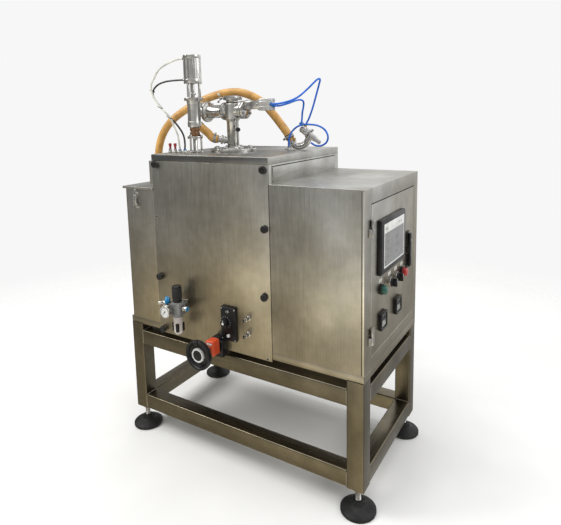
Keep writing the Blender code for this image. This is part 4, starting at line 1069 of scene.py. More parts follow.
pipe_path = through_points([(0.01, 0.188, 0.47), (0.004, 0.188, 0.47), (-0.004, 0.188, 0.469),
                            (-0.0125, 0.188, 0.4715), (OUTLET[0], 0.188, 0.479), (OUTLET[0], 0.188, 0.487),
                            (OUTLET[0], 0.188, 0.4952)], 0.002)
fixed("outlet_elbow", "fitting",
     [swept(pipe_path, 0.008, 28), ring(0.007, 0.021, (0.0118, 0.188, 0.47), (0.0068, 0.188, 0.47)),
      ring(0.007, 0.0175, (0.0066, 0.188, 0.47), (0.004, 0.188, 0.47))])
fixed("outlet_bolts", "satin",
     [nut(0.005, (0.0072, 0.188 + 0.016 * cos(a), 0.47 + 0.016 * sin(a)),
          (0.0042, 0.188 + 0.016 * cos(a), 0.47 + 0.016 * sin(a)))
      for a in (tau * (k + 0.5) / 6 for k in range(6))])
fixed("outlet_hose_clip", "satin", hose_clip((OUTLET[0], 0.188, 0.508), (0, 0, 1), HOSE_RADIUS, (0, -1, 0)))

# %% [markdown]
# ## Control box
# The box is a folded body with a cover sheet over the top. Its right wall is cut away for the
# door, which leaves a frame on all four sides. The seams at the front corner, over the door, beside
# the cabinet and along the back are near-black strips let into the surface, a painted shadow,
# because a real seam is a gap with shadow in it. The corner next to the front seam is a narrow
# strip painted bright, a painted highlight on its fold. The louvres and cable glands at the back
# are guessed.

# %% Body, cover and seams
BOX_X, BOX_TOP = (0.5803, 0.86), 0.904
BOX_Z = (0.412, BOX_TOP)
DOOR_Y, DOOR_Z = (0.0485, 0.4185), (0.4455, 0.8605)
EDGE = 0.0015
doorway = ((DOOR_Y[0] - EDGE, DOOR_Z[0] - EDGE), (DOOR_Y[1] + EDGE, DOOR_Z[1] + EDGE))
fixed("control_box_body", "sheet_up",
     [shell((BOX_X[0], BOX_X[1] - SHEET), (0, DEPTH), (BOX_Z[0], BOX_TOP), SHEET, 1, 0.0022),
      frame_plate(0, (BOX_X[1] - SHEET, BOX_X[1]), ((0, BOX_Z[0]), (DEPTH, BOX_TOP)), doorway, 0.0008)],
     ["control_box"])
fixed("doorway_lip", "satin",
     [frame_plate(0, (BOX_X[1] - 0.018, BOX_X[1] - SHEET),
                  ((doorway[0][0] - 0.0012, doorway[0][1] - 0.0012),
                   (doorway[1][0] + 0.0012, doorway[1][1] + 0.0012)),
                  doorway, 0.0003)])
fixed("door_gasket", "rubber",
     [frame_plate(0, (BOX_X[1] - 0.02, BOX_X[1] - 0.0165),
                  ((doorway[0][0] - 0.001, doorway[0][1] - 0.001),
                   (doorway[1][0] + 0.001, doorway[1][1] + 0.001)),
                  ((DOOR_Y[0] + 0.009, DOOR_Z[0] + 0.009), (DOOR_Y[1] - 0.009, DOOR_Z[1] - 0.009)),
                  0.0008)])
fixed("control_box_cover", "sheet_deep",
     [block((BOX_X[0], BOX_X[1] - 0.0002), (-0.0008, DEPTH + 0.0003), (BOX_TOP - 0.0012, BOX_TOP + 0.0004),
            0.0009, 3)])
# Near-black strips in the box's seams: painted shadow.
fixed("control_box_seam_shadows", "dark",
     [block((BOX_X[1] - 0.0078, BOX_X[1] - 0.006), (-0.00025, 0.001), (BOX_Z[0] + 0.002, BOX_TOP - 0.003),
            0),
      block((BOX_X[1] - 0.001, BOX_X[1] + 0.0002), DOOR_Y, (DOOR_Z[1] + 0.0004, DOOR_Z[1] + 0.0026), 0),
      block((0.5792, 0.5803), (-0.0002, 0.0018), (0.4125, BOX_TOP - 0.002), 0),
      block((BOX_X[0] + 0.006, BOX_X[1] - 0.006), (DEPTH - 0.001, DEPTH + 0.00025), (0.415, 0.416), 0)])
# A bright strip on the corner fold: painted highlight.
fixed("control_box_corner_painted_highlight", "edge",
     [block((BOX_X[1] - 0.006, BOX_X[1] - 0.0004), (-0.0003, 0.001), (BOX_Z[0] + 0.002, BOX_TOP - 0.003),
            0.0002)])
gland_spots = [(0.64, 0.47), (0.68, 0.47), (0.72, 0.47)]
fixed("rear_vent_louvres", "sheet_across",
     [block((0.655, 0.785), (DEPTH - 0.0004, DEPTH + 0.0026), (z, z + 0.005), 0.0012, 3)
      for z in (0.79 - 0.013 * k for k in range(7))])
fixed("rear_cable_glands", "black",
     [shape for x, z in gland_spots for shape in
      (nut(0.019, (x, DEPTH, z), (x, DEPTH + 0.005, z), 0.0006),
       turned([(0, 0.005), (0.0085, 0.005), (0.0085, 0.0088), (0.006, 0.0105), (0, 0.0105)], (x, DEPTH, z),
              (0, 1, 0), 32))])

# %% [markdown]
# The door is a flat tray, hinged at the front edge on two lift-off hinges and closed with a
# swing handle. Its front and bottom folds are strips of their own painted bright, a painted
# highlight where they would catch the light. Everything an operator touches sits on it. The bezels
# belong to the door, so they ride on it, and each cap or knob that moves is a piece of its own on
# its own joint.

# %% Door, hinges and handle
DOOR_PIVOT = (0.8665, 0.042)
FACE = 0.86
BUTTON_Z = 0.615
BUTTON_Y = {"start": 0.118, "left_selector": 0.19, "right_selector": 0.245, "stop": 0.3}
TOWARDS = (1, 0, 0)

make("door_sheet", "sheet_up", "door",
     [shell((FACE - 0.015, FACE), DOOR_Y, DOOR_Z, SHEET, 0, 0.0016)], ["control_door"])
# Bright strips on the door's front and bottom folds: painted highlight.
make("door_folds_painted_highlight", "edge", "door",
     [block((FACE - 0.001, FACE + 0.0004), (DOOR_Y[0] + 0.0002, DOOR_Y[0] + 0.0026), DOOR_Z, 0.0002),
      block((FACE - 0.001, FACE + 0.0004), DOOR_Y, (DOOR_Z[0] + 0.0002, DOOR_Z[0] + 0.0024), 0.0002)])
halves = {"machine": [], "door": []}
leaves = {"machine": [], "door": []}
for low in (0.486, 0.778):
    for body, z0, y_tab, y_leaf in (("machine", low, (0.0285, 0.042), (0.0275, 0.044)),
                                    ("door", low + 0.022, (0.042, 0.058), (0.05, 0.0585))):
        z = (z0, z0 + 0.0217)
        halves[body].append(rod(0.0055, (*DOOR_PIVOT, z[0]), (*DOOR_PIVOT, z[1]), 36, 0.0007))
        halves[body].append(block((FACE + 0.0022, DOOR_PIVOT[0]), y_tab, z, 0.0009, 3))
        halves[body].append(block((FACE - 0.0002, FACE + 0.0042), y_leaf, z, 0.0009, 3))
        leaves[body].append(cap_screw((FACE + 0.0042, sum(y_leaf) / 2, (z[0] + z[1]) / 2), TOWARDS, 0.0027,
                                      0.001))
for body, shapes in halves.items():
    make(f"{body}_hinge_halves", "satin", body, shapes)
    make(f"{body}_hinge_screws", "zinc", body, leaves[body])
handle_y, handle_z = 0.36, 0.669
make("lock_handle", "black", "handle",
     [block((FACE + 0.0042, FACE + 0.012), (handle_y - 0.008, handle_y + 0.008),
            (handle_z - 0.053, handle_z + 0.053), 0.0028, 4),
      rod(0.012, (FACE + 0.0005, handle_y, handle_z), (FACE + 0.006, handle_y, handle_z), 40, 0.0008),
      block((FACE + 0.0118, FACE + 0.0126), (handle_y - 0.0045, handle_y + 0.0045),
            (handle_z - 0.048, handle_z - 0.02), 0.0004),
      rod(0.006, (FACE - 0.022, handle_y, handle_z), (FACE + 0.005, handle_y, handle_z)),
      nut(0.02, (FACE - 0.01, handle_y, handle_z), (FACE - 0.0025, handle_y, handle_z))], ["door_handle"])
make("lock_key_way", "satin", "handle",
     [ring(0.0012, 0.0036, (FACE + 0.0116, handle_y, handle_z + 0.03),
           (FACE + 0.0128, handle_y, handle_z + 0.03), 28)])
make("lock_base", "black", "door",
     [block((FACE - 0.0002, FACE + 0.0034), (handle_y - 0.0125, handle_y + 0.0125),
            (handle_z - 0.06, handle_z - 0.0135), 0.0014, 3),
      block((FACE - 0.0002, FACE + 0.0034), (handle_y - 0.0125, handle_y + 0.0125),
            (handle_z + 0.0135, handle_z + 0.06), 0.0014, 3)])

# %% [markdown]
# The screen is a thick dark case with a stepped face. The picture on it is only a pale border and
# header, a grey field and a few plain bars, because the lesson keeps all lettering off the machine.
# Each area is a thin slab of its own, so that it stays visible from the side as a real step.

# %% Touch screen
SCREEN_Y, SCREEN_Z = (0.092, 0.298), (0.659, 0.811)
make("screen_case", "black", "door",
     [block((FACE + 0.0003, FACE + 0.01), SCREEN_Y, SCREEN_Z, 0.0022, 4),
      block((FACE + 0.009, FACE + 0.012), (SCREEN_Y[0] + 0.002, SCREEN_Y[1] - 0.002),
            (SCREEN_Z[0] + 0.002, SCREEN_Z[1] - 0.002), 0.0014, 3),
      block((FACE - 0.036, FACE + 0.001), (SCREEN_Y[0] + 0.0085, SCREEN_Y[1] - 0.0085),
            (SCREEN_Z[0] + 0.0085, SCREEN_Z[1] - 0.0085), 0.0015)], ["touch_screen"])
glass_y, glass_z = (SCREEN_Y[0] + 0.02, SCREEN_Y[1] - 0.014), (SCREEN_Z[0] + 0.016, SCREEN_Z[1] - 0.014)
header = glass_z[1] - 0.026
make("screen_border", "white", "door",
     [frame_plate(0, (FACE + 0.0118, FACE + 0.0124), ((glass_y[0], glass_z[0]), (glass_y[1], glass_z[1])),
                  ((glass_y[0] + 0.004, glass_z[0] + 0.004), (glass_y[1] - 0.004, header)), 0.0001)])
make("screen_field", "glass_grey", "door",
     [block((FACE + 0.0117, FACE + 0.0122), (glass_y[0] + 0.0035, glass_y[1] - 0.0035),
            (glass_z[0] + 0.0035, header + 0.0005), 0)])
make("screen_header_marks", "controller", "door",
     [block((FACE + 0.0123, FACE + 0.0126), (y, y + w), (header + 0.008, header + 0.016), 0.0001)
      for y, w in ((glass_y[0] + 0.01, 0.022), (glass_y[1] - 0.05, 0.01), (glass_y[1] - 0.034, 0.01))])
make("screen_field_marks", "grey", "door",
     [block((FACE + 0.012, FACE + 0.0124), (y, y + 0.03), (z, z + 0.0085), 0.0001)
      for y in (glass_y[0] + 0.028, glass_y[0] + 0.096)
      for z in (glass_z[0] + 0.022, glass_z[0] + 0.044, glass_z[0] + 0.066)])

# %% [markdown]
# Buttons and selectors share one row of holes, one size of bezel and one kind of terminal block
# behind the door, so a loop over the row makes those. The caps and knobs ride on their own joints.

# %% Buttons, selectors and their label plates
for name, y in BUTTON_Y.items():
    centre = (FACE, y, BUTTON_Z)
    bezel = "satin" if "selector" in name else "black"
    make(f"{name}_bezel", bezel, "door",
         [turned([(0.0136, -0.0015), (0.0148, -0.0015), (0.015, 0.005), (0.0146, 0.0078), (0.0137, 0.008)],
                 centre, TOWARDS, 56, 0.0003)])
    make(f"{name}_label_plate", "label", "door",
         [block((FACE - 0.0002, FACE + 0.0008), (y - 0.0125, y + 0.0125),
                (BUTTON_Z + 0.0185, BUTTON_Z + 0.03), 0.0005)])
    make(f"{name}_terminal_block", "controller", "door",
         [block((FACE - 0.044, FACE - 0.0025), (y - 0.013, y + 0.013), (BUTTON_Z - 0.014, BUTTON_Z + 0.014),
                0.0012)])
for name, finish, node in (("start", "green", "start_button"), ("stop", "red", "stop_button")):
    make(f"{name}_cap", finish, name,
         [turned([(0, -0.03), (0.008, -0.03), (0.008, -0.006), (0.0128, -0.006), (0.0128, 0.015),
                  (0.0118, 0.018),
                  (0.0095, 0.0198), (0.005, 0.0206), (0, 0.0208)], (FACE, BUTTON_Y[name], BUTTON_Z),
                 TOWARDS, 56, 0.0003)],
         [node])
for name, node in (("left_selector", "selector_left"), ("right_selector", "selector_right")):
    y = BUTTON_Y[name]
    make(f"{name}_knob", "black", name,
         [turned([(0, -0.03), (0.008, -0.03), (0.008, -0.006), (0.0129, -0.006), (0.0129, 0.0108),
                  (0.0115, 0.012), (0, 0.012)],
                 (FACE, y, BUTTON_Z), TOWARDS, 56),
          block((FACE + 0.01, FACE + 0.0244), (y - 0.0034, y + 0.0034),
                (BUTTON_Z - 0.0118, BUTTON_Z + 0.0118), 0.0014, 4)], [node])
    make(f"{name}_pointer", "white", name,
         [block((FACE + 0.0242, FACE + 0.0246), (y - 0.0009, y + 0.0009),
                (BUTTON_Z + 0.003, BUTTON_Z + 0.0108), 0.0001)])

# %% [markdown]
# The two meters are the standard 48 mm square. Each is a case, a grey face, a dark window where the
# figures would be, and a row of keys.

# %% Panel meters
METER = 0.048
for name, (y, z) in {"left": (0.105, 0.499), "right": (0.234, 0.501)}.items():
    make(f"meter_case_{name}", "black", "door",
         [frame_plate(0, (FACE + 0.0003, FACE + 0.01), ((y, z), (y + METER, z + METER)),
                      ((y + 0.0055, z + 0.0055), (y + METER - 0.0055, z + METER - 0.0055)), 0.0011),
          block((FACE - 0.06, FACE + 0.0045), (y + 0.002, y + METER - 0.002),
                (z + 0.002, z + METER - 0.002), 0.0015)],
         [f"panel_meter_{name}"])
    make(f"meter_face_{name}", "meter_face", "door",
         [block((FACE + 0.004, FACE + 0.0068), (y + 0.0057, y + METER - 0.0057),
                (z + 0.0057, z + METER - 0.0057), 0.0004)])
    make(f"meter_window_{name}", "black", "door",
         [block((FACE + 0.0066, FACE + 0.0074), (y + 0.0095, y + METER - 0.0095), (z + 0.024, z + 0.0385),
                0.0003)])
    make(f"meter_keys_{name}", "controller", "door",
         [block((FACE + 0.0066, FACE + 0.0078), (y + 0.01 + 0.0075 * k, y + 0.0152 + 0.0075 * k),
                (z + 0.0105, z + 0.0155), 0.0005)
          for k in range(4)])

# %% [markdown]
# Behind the door a zinc plate carries the controller, the power supply and the air valves. It only
# shows when the door swings open, but an empty box would give the machine away, so it gets rows of
# terminals, slotted wiring ducts, a valve block with its blue push-in rings and loose coloured leads.

# %% Inside the control box
WALL = 0.5826
fixed("chassis_plate", "zinc", [block((WALL, WALL + 0.003), (0.06, 0.41), (0.45, 0.86), 0.0006)],
      ["control_chassis"])
modules = {"controller": ((0.08, 0.205), (0.7, 0.8), 0.07), "drive": ((0.23, 0.33), (0.69, 0.815), 0.1),
           "supply": ((0.35, 0.39), (0.7, 0.79), 0.065)}
for name, (y, z, deep) in modules.items():
    make(f"{name}_module", "controller" if name != "drive" else "black", "machine",
         [block((WALL + 0.003, WALL + deep), y, z, 0.0015, 3),
          *[block((WALL + 0.01, WALL + deep + 0.0012), (y[0] + 0.004, y[1] - 0.004),
                  (z[1] - 0.016 - 0.006 * k, z[1] - 0.013 - 0.006 * k), 0.0004)
            for k in range(5)]])
fixed("wiring_ducts", "grey",
     [shape for z in (0.64, 0.83) for shape in
      [block((WALL + 0.003, WALL + 0.04), (0.072, 0.398), (z, z + 0.022), 0.001)]
      + [block((WALL + 0.008, WALL + 0.036), (0.08 + 0.012 * k, 0.0845 + 0.012 * k),
               (z - 0.0008, z + 0.0228), 0.0003) for k in range(27)]])
fixed("valve_block", "alloy",
     [block((WALL + 0.003, WALL + 0.055), (0.09 + 0.042 * k, 0.128 + 0.042 * k), (0.48, 0.525), 0.0015, 3)
      for k in range(7)])
fixed("valve_push_ins", "blue",
     [ring(0.0032, 0.0055, (WALL + 0.055, 0.109 + 0.042 * k, z), (WALL + 0.06, 0.109 + 0.042 * k, z), 24)
      for k in range(7) for z in (0.492, 0.512)])
fixed("terminal_rows", "green",
     [block((WALL + 0.003, WALL + 0.045), (0.092 + 0.0082 * k, 0.0995 + 0.0082 * k), (0.588, 0.629), 0.0006)
      for k in range(35)])
lead_paths = []
for k in range(9):
    y = 0.11 + 0.028 * k
    lead_paths.append([(WALL + 0.047, y, 0.625), (WALL + 0.06, y, 0.634), (WALL + 0.064, y + 0.006, 0.652),
                       (WALL + 0.058, y + 0.01, 0.675),
                       (WALL + 0.05, y + 0.008, 0.694), (WALL + 0.045, y + 0.006, 0.706)])
for colour, chosen in (("red", lead_paths[::3]), ("black", lead_paths[1::3]), ("blue", lead_paths[2::3])):
    make(f"{colour}_leads", colour, "machine", [swept(through_points(p, 0.004), 0.0011, 8) for p in chosen])

# %% [markdown]
# ## Stroke adjustment
# Turning the handwheel drives a screw that moves a stop inside the cabinet, and the orange counter
# shows how far. The wheel's dish is one turning. The white ring on its hub is a scale with small
# marks, and those marks are short strokes without figures.

# %% Handwheel, counter, screw and stop
WHEEL_FRONT = -0.125
wheel = [(0.0075, 0.003), (0.016, 0.003), (0.018, 0.006), (0.02, 0.0105), (0.03, 0.0125), (0.0335, 0.0105),
         (0.0355, 0.005),
         (0.0385, 0.001), (0.042, 0.0004), (0.0445, 0.003), (0.045, 0.0085), (0.0443, 0.014),
         (0.041, 0.0185),
         (0.03, 0.019), (0.018, 0.0258), (0.0075, 0.0258)]
grip_z = STROKE[1] + 0.04
make("handwheel_rim", "black", "stroke_wheel",
     [turned(wheel, stroke(WHEEL_FRONT + 0.005), (0, 1, 0), 72, 0.0006),
      turned([(0, 0), (0.005, 0), (0.0068, 0.002), (0.007, 0.008), (0.0052, 0.012), (0, 0.012)],
             (STROKE[0], WHEEL_FRONT, grip_z), (0, 1, 0), 32, 0.0005)], ["handwheel"])
make("handwheel_scale", "white", "stroke_wheel",
     [ring(0.0158, 0.0212, stroke(WHEEL_FRONT + 0.0075), stroke(WHEEL_FRONT + 0.0165), 72, 0.0012)])
marks = []
for k in range(40):
    angle = tau * k / 40
    reach = 0.0174 if k % 5 == 0 else 0.0186
    ends = [(STROKE[0] + r * sin(angle), WHEEL_FRONT + 0.0075, STROKE[1] + r * cos(angle))
            for r in (reach, 0.0205)]
    marks.append(rod(0.0004, ends[0], ends[1], 6, 0))
make("handwheel_marks", "black", "stroke_wheel", marks)
make("handwheel_hub", "black", "stroke_wheel",
     [turned([(0, 0), (0.006, 0), (0.0105, 0.0018), (0.0135, 0.005), (0.0157, 0.007), (0, 0.007)],
             stroke(WHEEL_FRONT + 0.007), (0, 1, 0), 48, 0.0004)])
make("stroke_screw_thread", "fitting", "stroke_wheel",
     [rod(0.007, stroke(WHEEL_FRONT + 0.012), stroke(-0.026), 32),
      threaded(stroke(-0.026), (0, 1, 0), 0.326, 0.007, 0.0032)],
     ["stroke_screw"])
fixed("counter_case", "orange",
     [block((STROKE[0] - 0.015, STROKE[0] + 0.015), (-0.062, -0.03), (STROKE[1] - 0.025, STROKE[1] + 0.021),
            0.0035, 4)],
     ["position_indicator"])
fixed("counter_window", "black",
     [block((STROKE[0] - 0.0105, STROKE[0] + 0.0105), (-0.062, -0.06),
            (STROKE[1] + 0.0085, STROKE[1] + 0.017), 0.0008)])
fixed("counter_wheels", "white",
     [block((STROKE[0] - 0.0092 + 0.0064 * k, STROKE[0] - 0.0036 + 0.0064 * k), (-0.0624, -0.0615),
            (STROKE[1] + 0.01, STROKE[1] + 0.0155), 0.0004)
      for k in range(3)])
fixed("counter_collar", "satin", [ring(0.0074, 0.0115, stroke(-0.03), stroke(-0.0262))])
make("stroke_stop_nut", "black", "travelling_stop",
     [block((STROKE[0] - 0.021, STROKE[0] + 0.021), (0.06, 0.09), (STROKE[1] + 0.0075, STROKE[1] + 0.03),
            0.0015, 3),
      block((STROKE[0] - 0.021, STROKE[0] + 0.021), (0.06, 0.09), (STROKE[1] - 0.014, STROKE[1] - 0.0075),
            0.0015, 3),
      *[block((STROKE[0] + a, STROKE[0] + b), (0.06, 0.09), (STROKE[1] - 0.01, STROKE[1] + 0.01), 0.0008)
        for a, b in ((-0.021, -0.0075), (0.0075, 0.021))]], ["stroke_stop"])

# %% [markdown]
# ## Air preparation and speed plate
# The regulator cleans the shop's air and sets its pressure. Its body is a casting, the bowl below
# is clear so that the water in it shows, with four dark posts round it. The knob on top is ribbed
# for the fingers.

# %% Filter regulator
REGULATOR = (0.253, -0.036)
BODY_Z, GAUGE = (0.472, 0.519), (0.231, 0.493)
rx, ry = REGULATOR
fixed("regulator_body", "grey",
     [block((rx - 0.0178, rx + 0.0195), (ry - 0.0138, ry + 0.0178), (BODY_Z[0] + 0.006, BODY_Z[1] - 0.003),
            0.0035, 4),
      turned([(0, 0), (0.0172, 0), (0.0172, 0.01), (0, 0.01)], (rx, ry, BODY_Z[0]), sides=48, soft=0.001),
      turned([(0, 0), (0.0165, 0), (0.015, 0.006), (0, 0.006)], (rx, ry, BODY_Z[1] - 0.0055), sides=48),
      block((GAUGE[0] - 0.0135, rx - 0.015), (ry - 0.0138, ry + 0.0138),
            (BODY_Z[0] + 0.0045, BODY_Z[1] - 0.0065), 0.0025, 3)],
     ["filter_regulator"])
fixed("regulator_bracket", "zinc",
     [block((rx - 0.012, rx + 0.012), (ry + 0.015, -0.0004), (BODY_Z[0] + 0.01, BODY_Z[0] + 0.013), 0.0008),
      block((rx - 0.012, rx + 0.012), (-0.0032, -0.0004), (BODY_Z[0] + 0.01, BODY_Z[1] - 0.004), 0.0008),
      cap_screw((rx - 0.007, -0.0032, BODY_Z[1] - 0.012), OUT),
      cap_screw((rx + 0.007, -0.0032, BODY_Z[1] - 0.012), OUT)])
fixed("regulator_bowl", "bowl",
     [turned([(0, -0.06), (0.006, -0.06), (0.0115, -0.0565), (0.0145, -0.049), (0.0148, 0.002), (0, 0.002)],
             (rx, ry, BODY_Z[0]), sides=48, soft=0.0006)])
fixed("bowl_drain", "black",
     [turned([(0, -0.062), (0.0045, -0.062), (0.0055, -0.057), (0, -0.056)], (rx, ry, BODY_Z[0]), sides=28),
      *[block((rx + 0.0136 * cos(a) - 0.0048, rx + 0.0136 * cos(a) + 0.0048),
              (ry + 0.0136 * sin(a) - 0.0048, ry + 0.0136 * sin(a) + 0.0048),
              (BODY_Z[0] - 0.048, BODY_Z[0] - 0.02), 0.0018, 3)
        for a in (radians(-60), radians(30), radians(120), radians(210))]])
make("regulator_cap_knob", "black", "regulator_cap",
     [knurled((rx, ry, BODY_Z[1] + 0.0004), (0, 0, 1), 0.011, 0.046, 0.0154, 22, 0.001),
      turned([(0, 0), (0.014, 0), (0.0142, 0.01), (0.0146, 0.046), (0.015, 0.047), (0.014, 0.0518),
              (0.011, 0.0528), (0, 0.0528)],
             (rx, ry, BODY_Z[1] + 0.0004), sides=56)], ["regulator_knob"])

# %% [markdown]
# The gauge looks at the operator. Its dial carries 21 strokes and a needle, and no figures. The
# strokes are thin rods laid on the dial.

# %% Pressure gauge
gauge_back = ry - 0.014 - GAP
fixed("gauge_case", "fitting",
     [turned([(0, 0), (0.005, 0), (0.005, 0.006), (0.02, 0.006), (0.021, 0.01), (0.021, 0.0215),
              (0.02, 0.0232),
              (0.0178, 0.0232), (0.0174, 0.021), (0, 0.021)], (GAUGE[0], gauge_back, GAUGE[1]), OUT, 56,
             0.0003)], ["pressure_gauge"])
dial_y = gauge_back - 0.0212
fixed("gauge_dial", "white",
      [rod(0.0174, (GAUGE[0], dial_y + 0.001, GAUGE[1]), (GAUGE[0], dial_y, GAUGE[1]), 48, 0)])
dial_marks = []
for k in range(21):
    angle = radians(-135 + 13.5 * k)
    reach = 0.012 if k % 5 == 0 else 0.0138
    tick = [(GAUGE[0] + r * sin(angle), dial_y - 0.0001, GAUGE[1] + r * cos(angle))
            for r in (reach, 0.0158)]
    dial_marks.append(rod(0.00032, tick[0], tick[1], 5, 0))
dial_marks.append(rod(0.00055, (GAUGE[0] + 0.003, dial_y - 0.0006, GAUGE[1] + 0.004),
                      (GAUGE[0] - 0.0085, dial_y - 0.0006, GAUGE[1] - 0.0105), 6, 0))
dial_marks.append(rod(0.002, (GAUGE[0], dial_y, GAUGE[1]), (GAUGE[0], dial_y - 0.0012, GAUGE[1]), 20, 0))
fixed("gauge_marks", "black", dial_marks)

# %% [markdown]
# Silver fittings take the blue tube at the left and at the right, and each push-in has a light blue
# ring.

# %% Air fittings
fittings = []
for along, z in ((-1, 0.506), (1, 0.502)):
    start = GAUGE[0] - 0.013 if along < 0 else rx + 0.019
    fittings += [rod(0.0062, (start, ry, z), (start + along * 0.006, ry, z)),
                 nut(0.016, (start + along * 0.005, ry, z), (start + along * 0.012, ry, z)),
                 rod(0.0078, (start + along * 0.011, ry, z),
                     (start + along * (0.021 if along > 0 else 0.028), ry, z), 32, 0.0006)]
fittings += [turned([(0, 0), (0.0085, 0), (0.0085, 0.014), (0.007, 0.016), (0, 0.016)], (0.205, ry, 0.496),
                    (0, 0, 1), 36, 0.0005),
             rod(0.005, (0.192, ry - 0.002, 0.506), (0.18, ry - 0.008, 0.5045), 28),
             rod(0.0062, (0.186, ry - 0.005, 0.505), (0.181, ry - 0.0078, 0.5046), 28)]
fixed("air_fittings", "fitting", fittings)
fixed("air_push_in", "push_in",
     [ring(0.008, 0.0128, (0.22, ry - 0.006, 0.519), (0.213, ry - 0.01, 0.519), 44, 0.0014),
      rod(0.01, (0.224, ry - 0.003, 0.519), (0.2135, ry - 0.009, 0.519), 40, 0.001),
      ring(0.004, 0.007, (rx + 0.0395, ry, 0.502), (rx + 0.042, ry, 0.502), 36, 0.0006)])

# %% [markdown]
# The speed plate is a black block with a turning knob, a small toggle and a button. Eleven dots
# round the knob stand for its scale. Two bulkhead fittings stand to its right.

# %% Speed plate and bulkhead fittings
PLATE_X, PLATE_Z = (0.403, 0.459), (0.419, 0.524)
KNOB = (0.421, 0.476)
fixed("speed_plate", "black", [block(PLATE_X, (-0.0098, -0.0003), PLATE_Z, 0.0016, 3)], ["speed_panel"])
fixed("speed_plate_screws", "satin",
     [cap_screw((x, -0.0098, z), OUT, 0.0022, 0.0012) for x in (0.4075, 0.4545) for z in (0.4235, 0.5195)])
fixed("speed_dial", "controller",
     [rod(0.0011, (KNOB[0] + 0.0175 * sin(a), -0.0096, KNOB[1] + 0.0175 * cos(a)),
          (KNOB[0] + 0.0175 * sin(a), -0.0102, KNOB[1] + 0.0175 * cos(a)), 10, 0)
      for a in (radians(-135 + 27 * k) for k in range(11))])
make("speed_setter_knob", "black", "speed_setter",
     [turned([(0, -0.004), (0.0034, -0.004), (0.0034, 0.0006), (0.012, 0.0006), (0.0118, 0.004),
              (0.0106, 0.013), (0.009, 0.0146), (0, 0.0146)],
             (KNOB[0], -0.01, KNOB[1]), OUT, 48)], ["speed_knob"])
make("speed_setter_dot", "white", "speed_setter",
     [rod(0.0042, (KNOB[0], -0.0244, KNOB[1]), (KNOB[0], -0.0249, KNOB[1]), 28, 0.0002),
      block((KNOB[0] - 0.0008, KNOB[0] + 0.0008), (-0.025, -0.0243), (KNOB[1] + 0.003, KNOB[1] + 0.0088),
            0.0001)])
fixed("speed_plate_switch", "satin",
     [nut(0.0085, (0.43, -0.0096, 0.511), (0.43, -0.0116, 0.511)),
      rod(0.0016, (0.43, -0.011, 0.511), (0.4305, -0.0205, 0.5145), 16)])
fixed("speed_plate_button", "white",
     [rod(0.005, (0.432, -0.0096, 0.436), (0.432, -0.015, 0.436), 32, 0.0008)])
bulkheads, bulkhead_rings = [], []
for x, z in ((0.501, 0.502), (0.499, 0.452)):
    bulkheads += [nut(0.015, (x, 0.0002, z), (x, -0.0045, z), 0.0006),
                  rod(0.0062, (x, -0.004, z), (x, -0.0185, z), 36, 0.0006),
                  rod(0.005, (x, -0.0185, z), (x, -0.0245, z), 36, 0.0006)]
    bulkhead_rings.append(ring(0.003, 0.0046, (x, -0.0244, z), (x, -0.0262, z), 32))
fixed("bulkhead_fittings", "fitting", bulkheads)
fixed("bulkhead_seals", "rubber", bulkhead_rings)

# %% [markdown]
# ## Fill valve
# The tall valve at the left opens and shuts the way to the nozzle. From the bottom up it is a pipe
# with a bronze waist on three posts, a polished tube, a clamped flange, an open yoke where the stem
# shows, and an air cylinder held by four tie rods. Each stage is a separate turning here, because
# that is how the seams between them come out right.

# %% Valve body, yoke and stem
VALVE = (0.24, 0.1)
TOP = PLATE_TOP + GAP
UP = (0, 0, 1)


def around(radius, count, start=0.0, centre=VALVE):
    for i in range(count):
        angle = start + tau * i / count
        yield centre[0] + radius * cos(angle), centre[1] + radius * sin(angle)


fixed("valve_lower_pipe", "fitting",
     [turned([(0, TOP), (0.0125, TOP), (0.0125, TOP + 0.004), (0.007, TOP + 0.006), (0.007, 1.026),
              (0, 1.026)], (*VALVE, 0)),
      turned([(0, 1.0245), (0.0245, 1.0245), (0.0245, 1.032), (0.0155, 1.033), (0, 1.033)], (*VALVE, 0),
             sides=48),
      *[rod(0.0032, (x, y, TOP), (x, y, 1.029), 20) for x, y in around(0.02, 3, 0.4)],
      *[nut(0.009, (x, y, z), (x, y, z + 0.005)) for x, y in around(0.02, 3, 0.4) for z in (TOP, 1.032)]],
     ["fill_valve_body"])
fixed("valve_waist", "bronze",
     [turned([(0, 1.033), (0.015, 1.033), (0.016, 1.035), (0.016, 1.045), (0.0138, 1.0465), (0.0138, 1.049),
              (0.016, 1.0505), (0.016, 1.058), (0.0145, 1.06), (0, 1.06)], (*VALVE, 0), sides=48)])
fixed("valve_tube", "fitting",
     [turned([(0, 1.06), (0.018, 1.06), (0.0222, 1.064), (0.0222, 1.078), (0.021, 1.079), (0.021, 1.136),
              (0.0222, 1.1372),
              (0.0222, 1.144), (0.027, 1.146), (0.027, 1.1495), (0, 1.1495)], (*VALVE, 0), sides=56,
             soft=0.0003),
      turned([(0, 1.1502), (0.027, 1.1502), (0.027, 1.1548), (0.012, 1.1552), (0, 1.1552)], (*VALVE, 0),
             sides=56)])
fixed("valve_clamp", "satin",
     [ring(0.0262, 0.03, (*VALVE, 1.1455), (*VALVE, 1.1545), 56, 0.0016),
      block((VALVE[0] + 0.027, VALVE[0] + 0.037), (VALVE[1] - 0.006, VALVE[1] + 0.006), (1.1462, 1.154),
            0.0014, 3),
      rod(0.0018, (VALVE[0] + 0.033, VALVE[1] - 0.016, 1.15), (VALVE[0] + 0.033, VALVE[1] + 0.007, 1.15),
          16),
      *[block((VALVE[0] + 0.032, VALVE[0] + 0.034), (VALVE[1] - 0.0165, VALVE[1] - 0.009), z, 0.0009, 3)
        for z in ((1.14, 1.149), (1.151, 1.16))]])
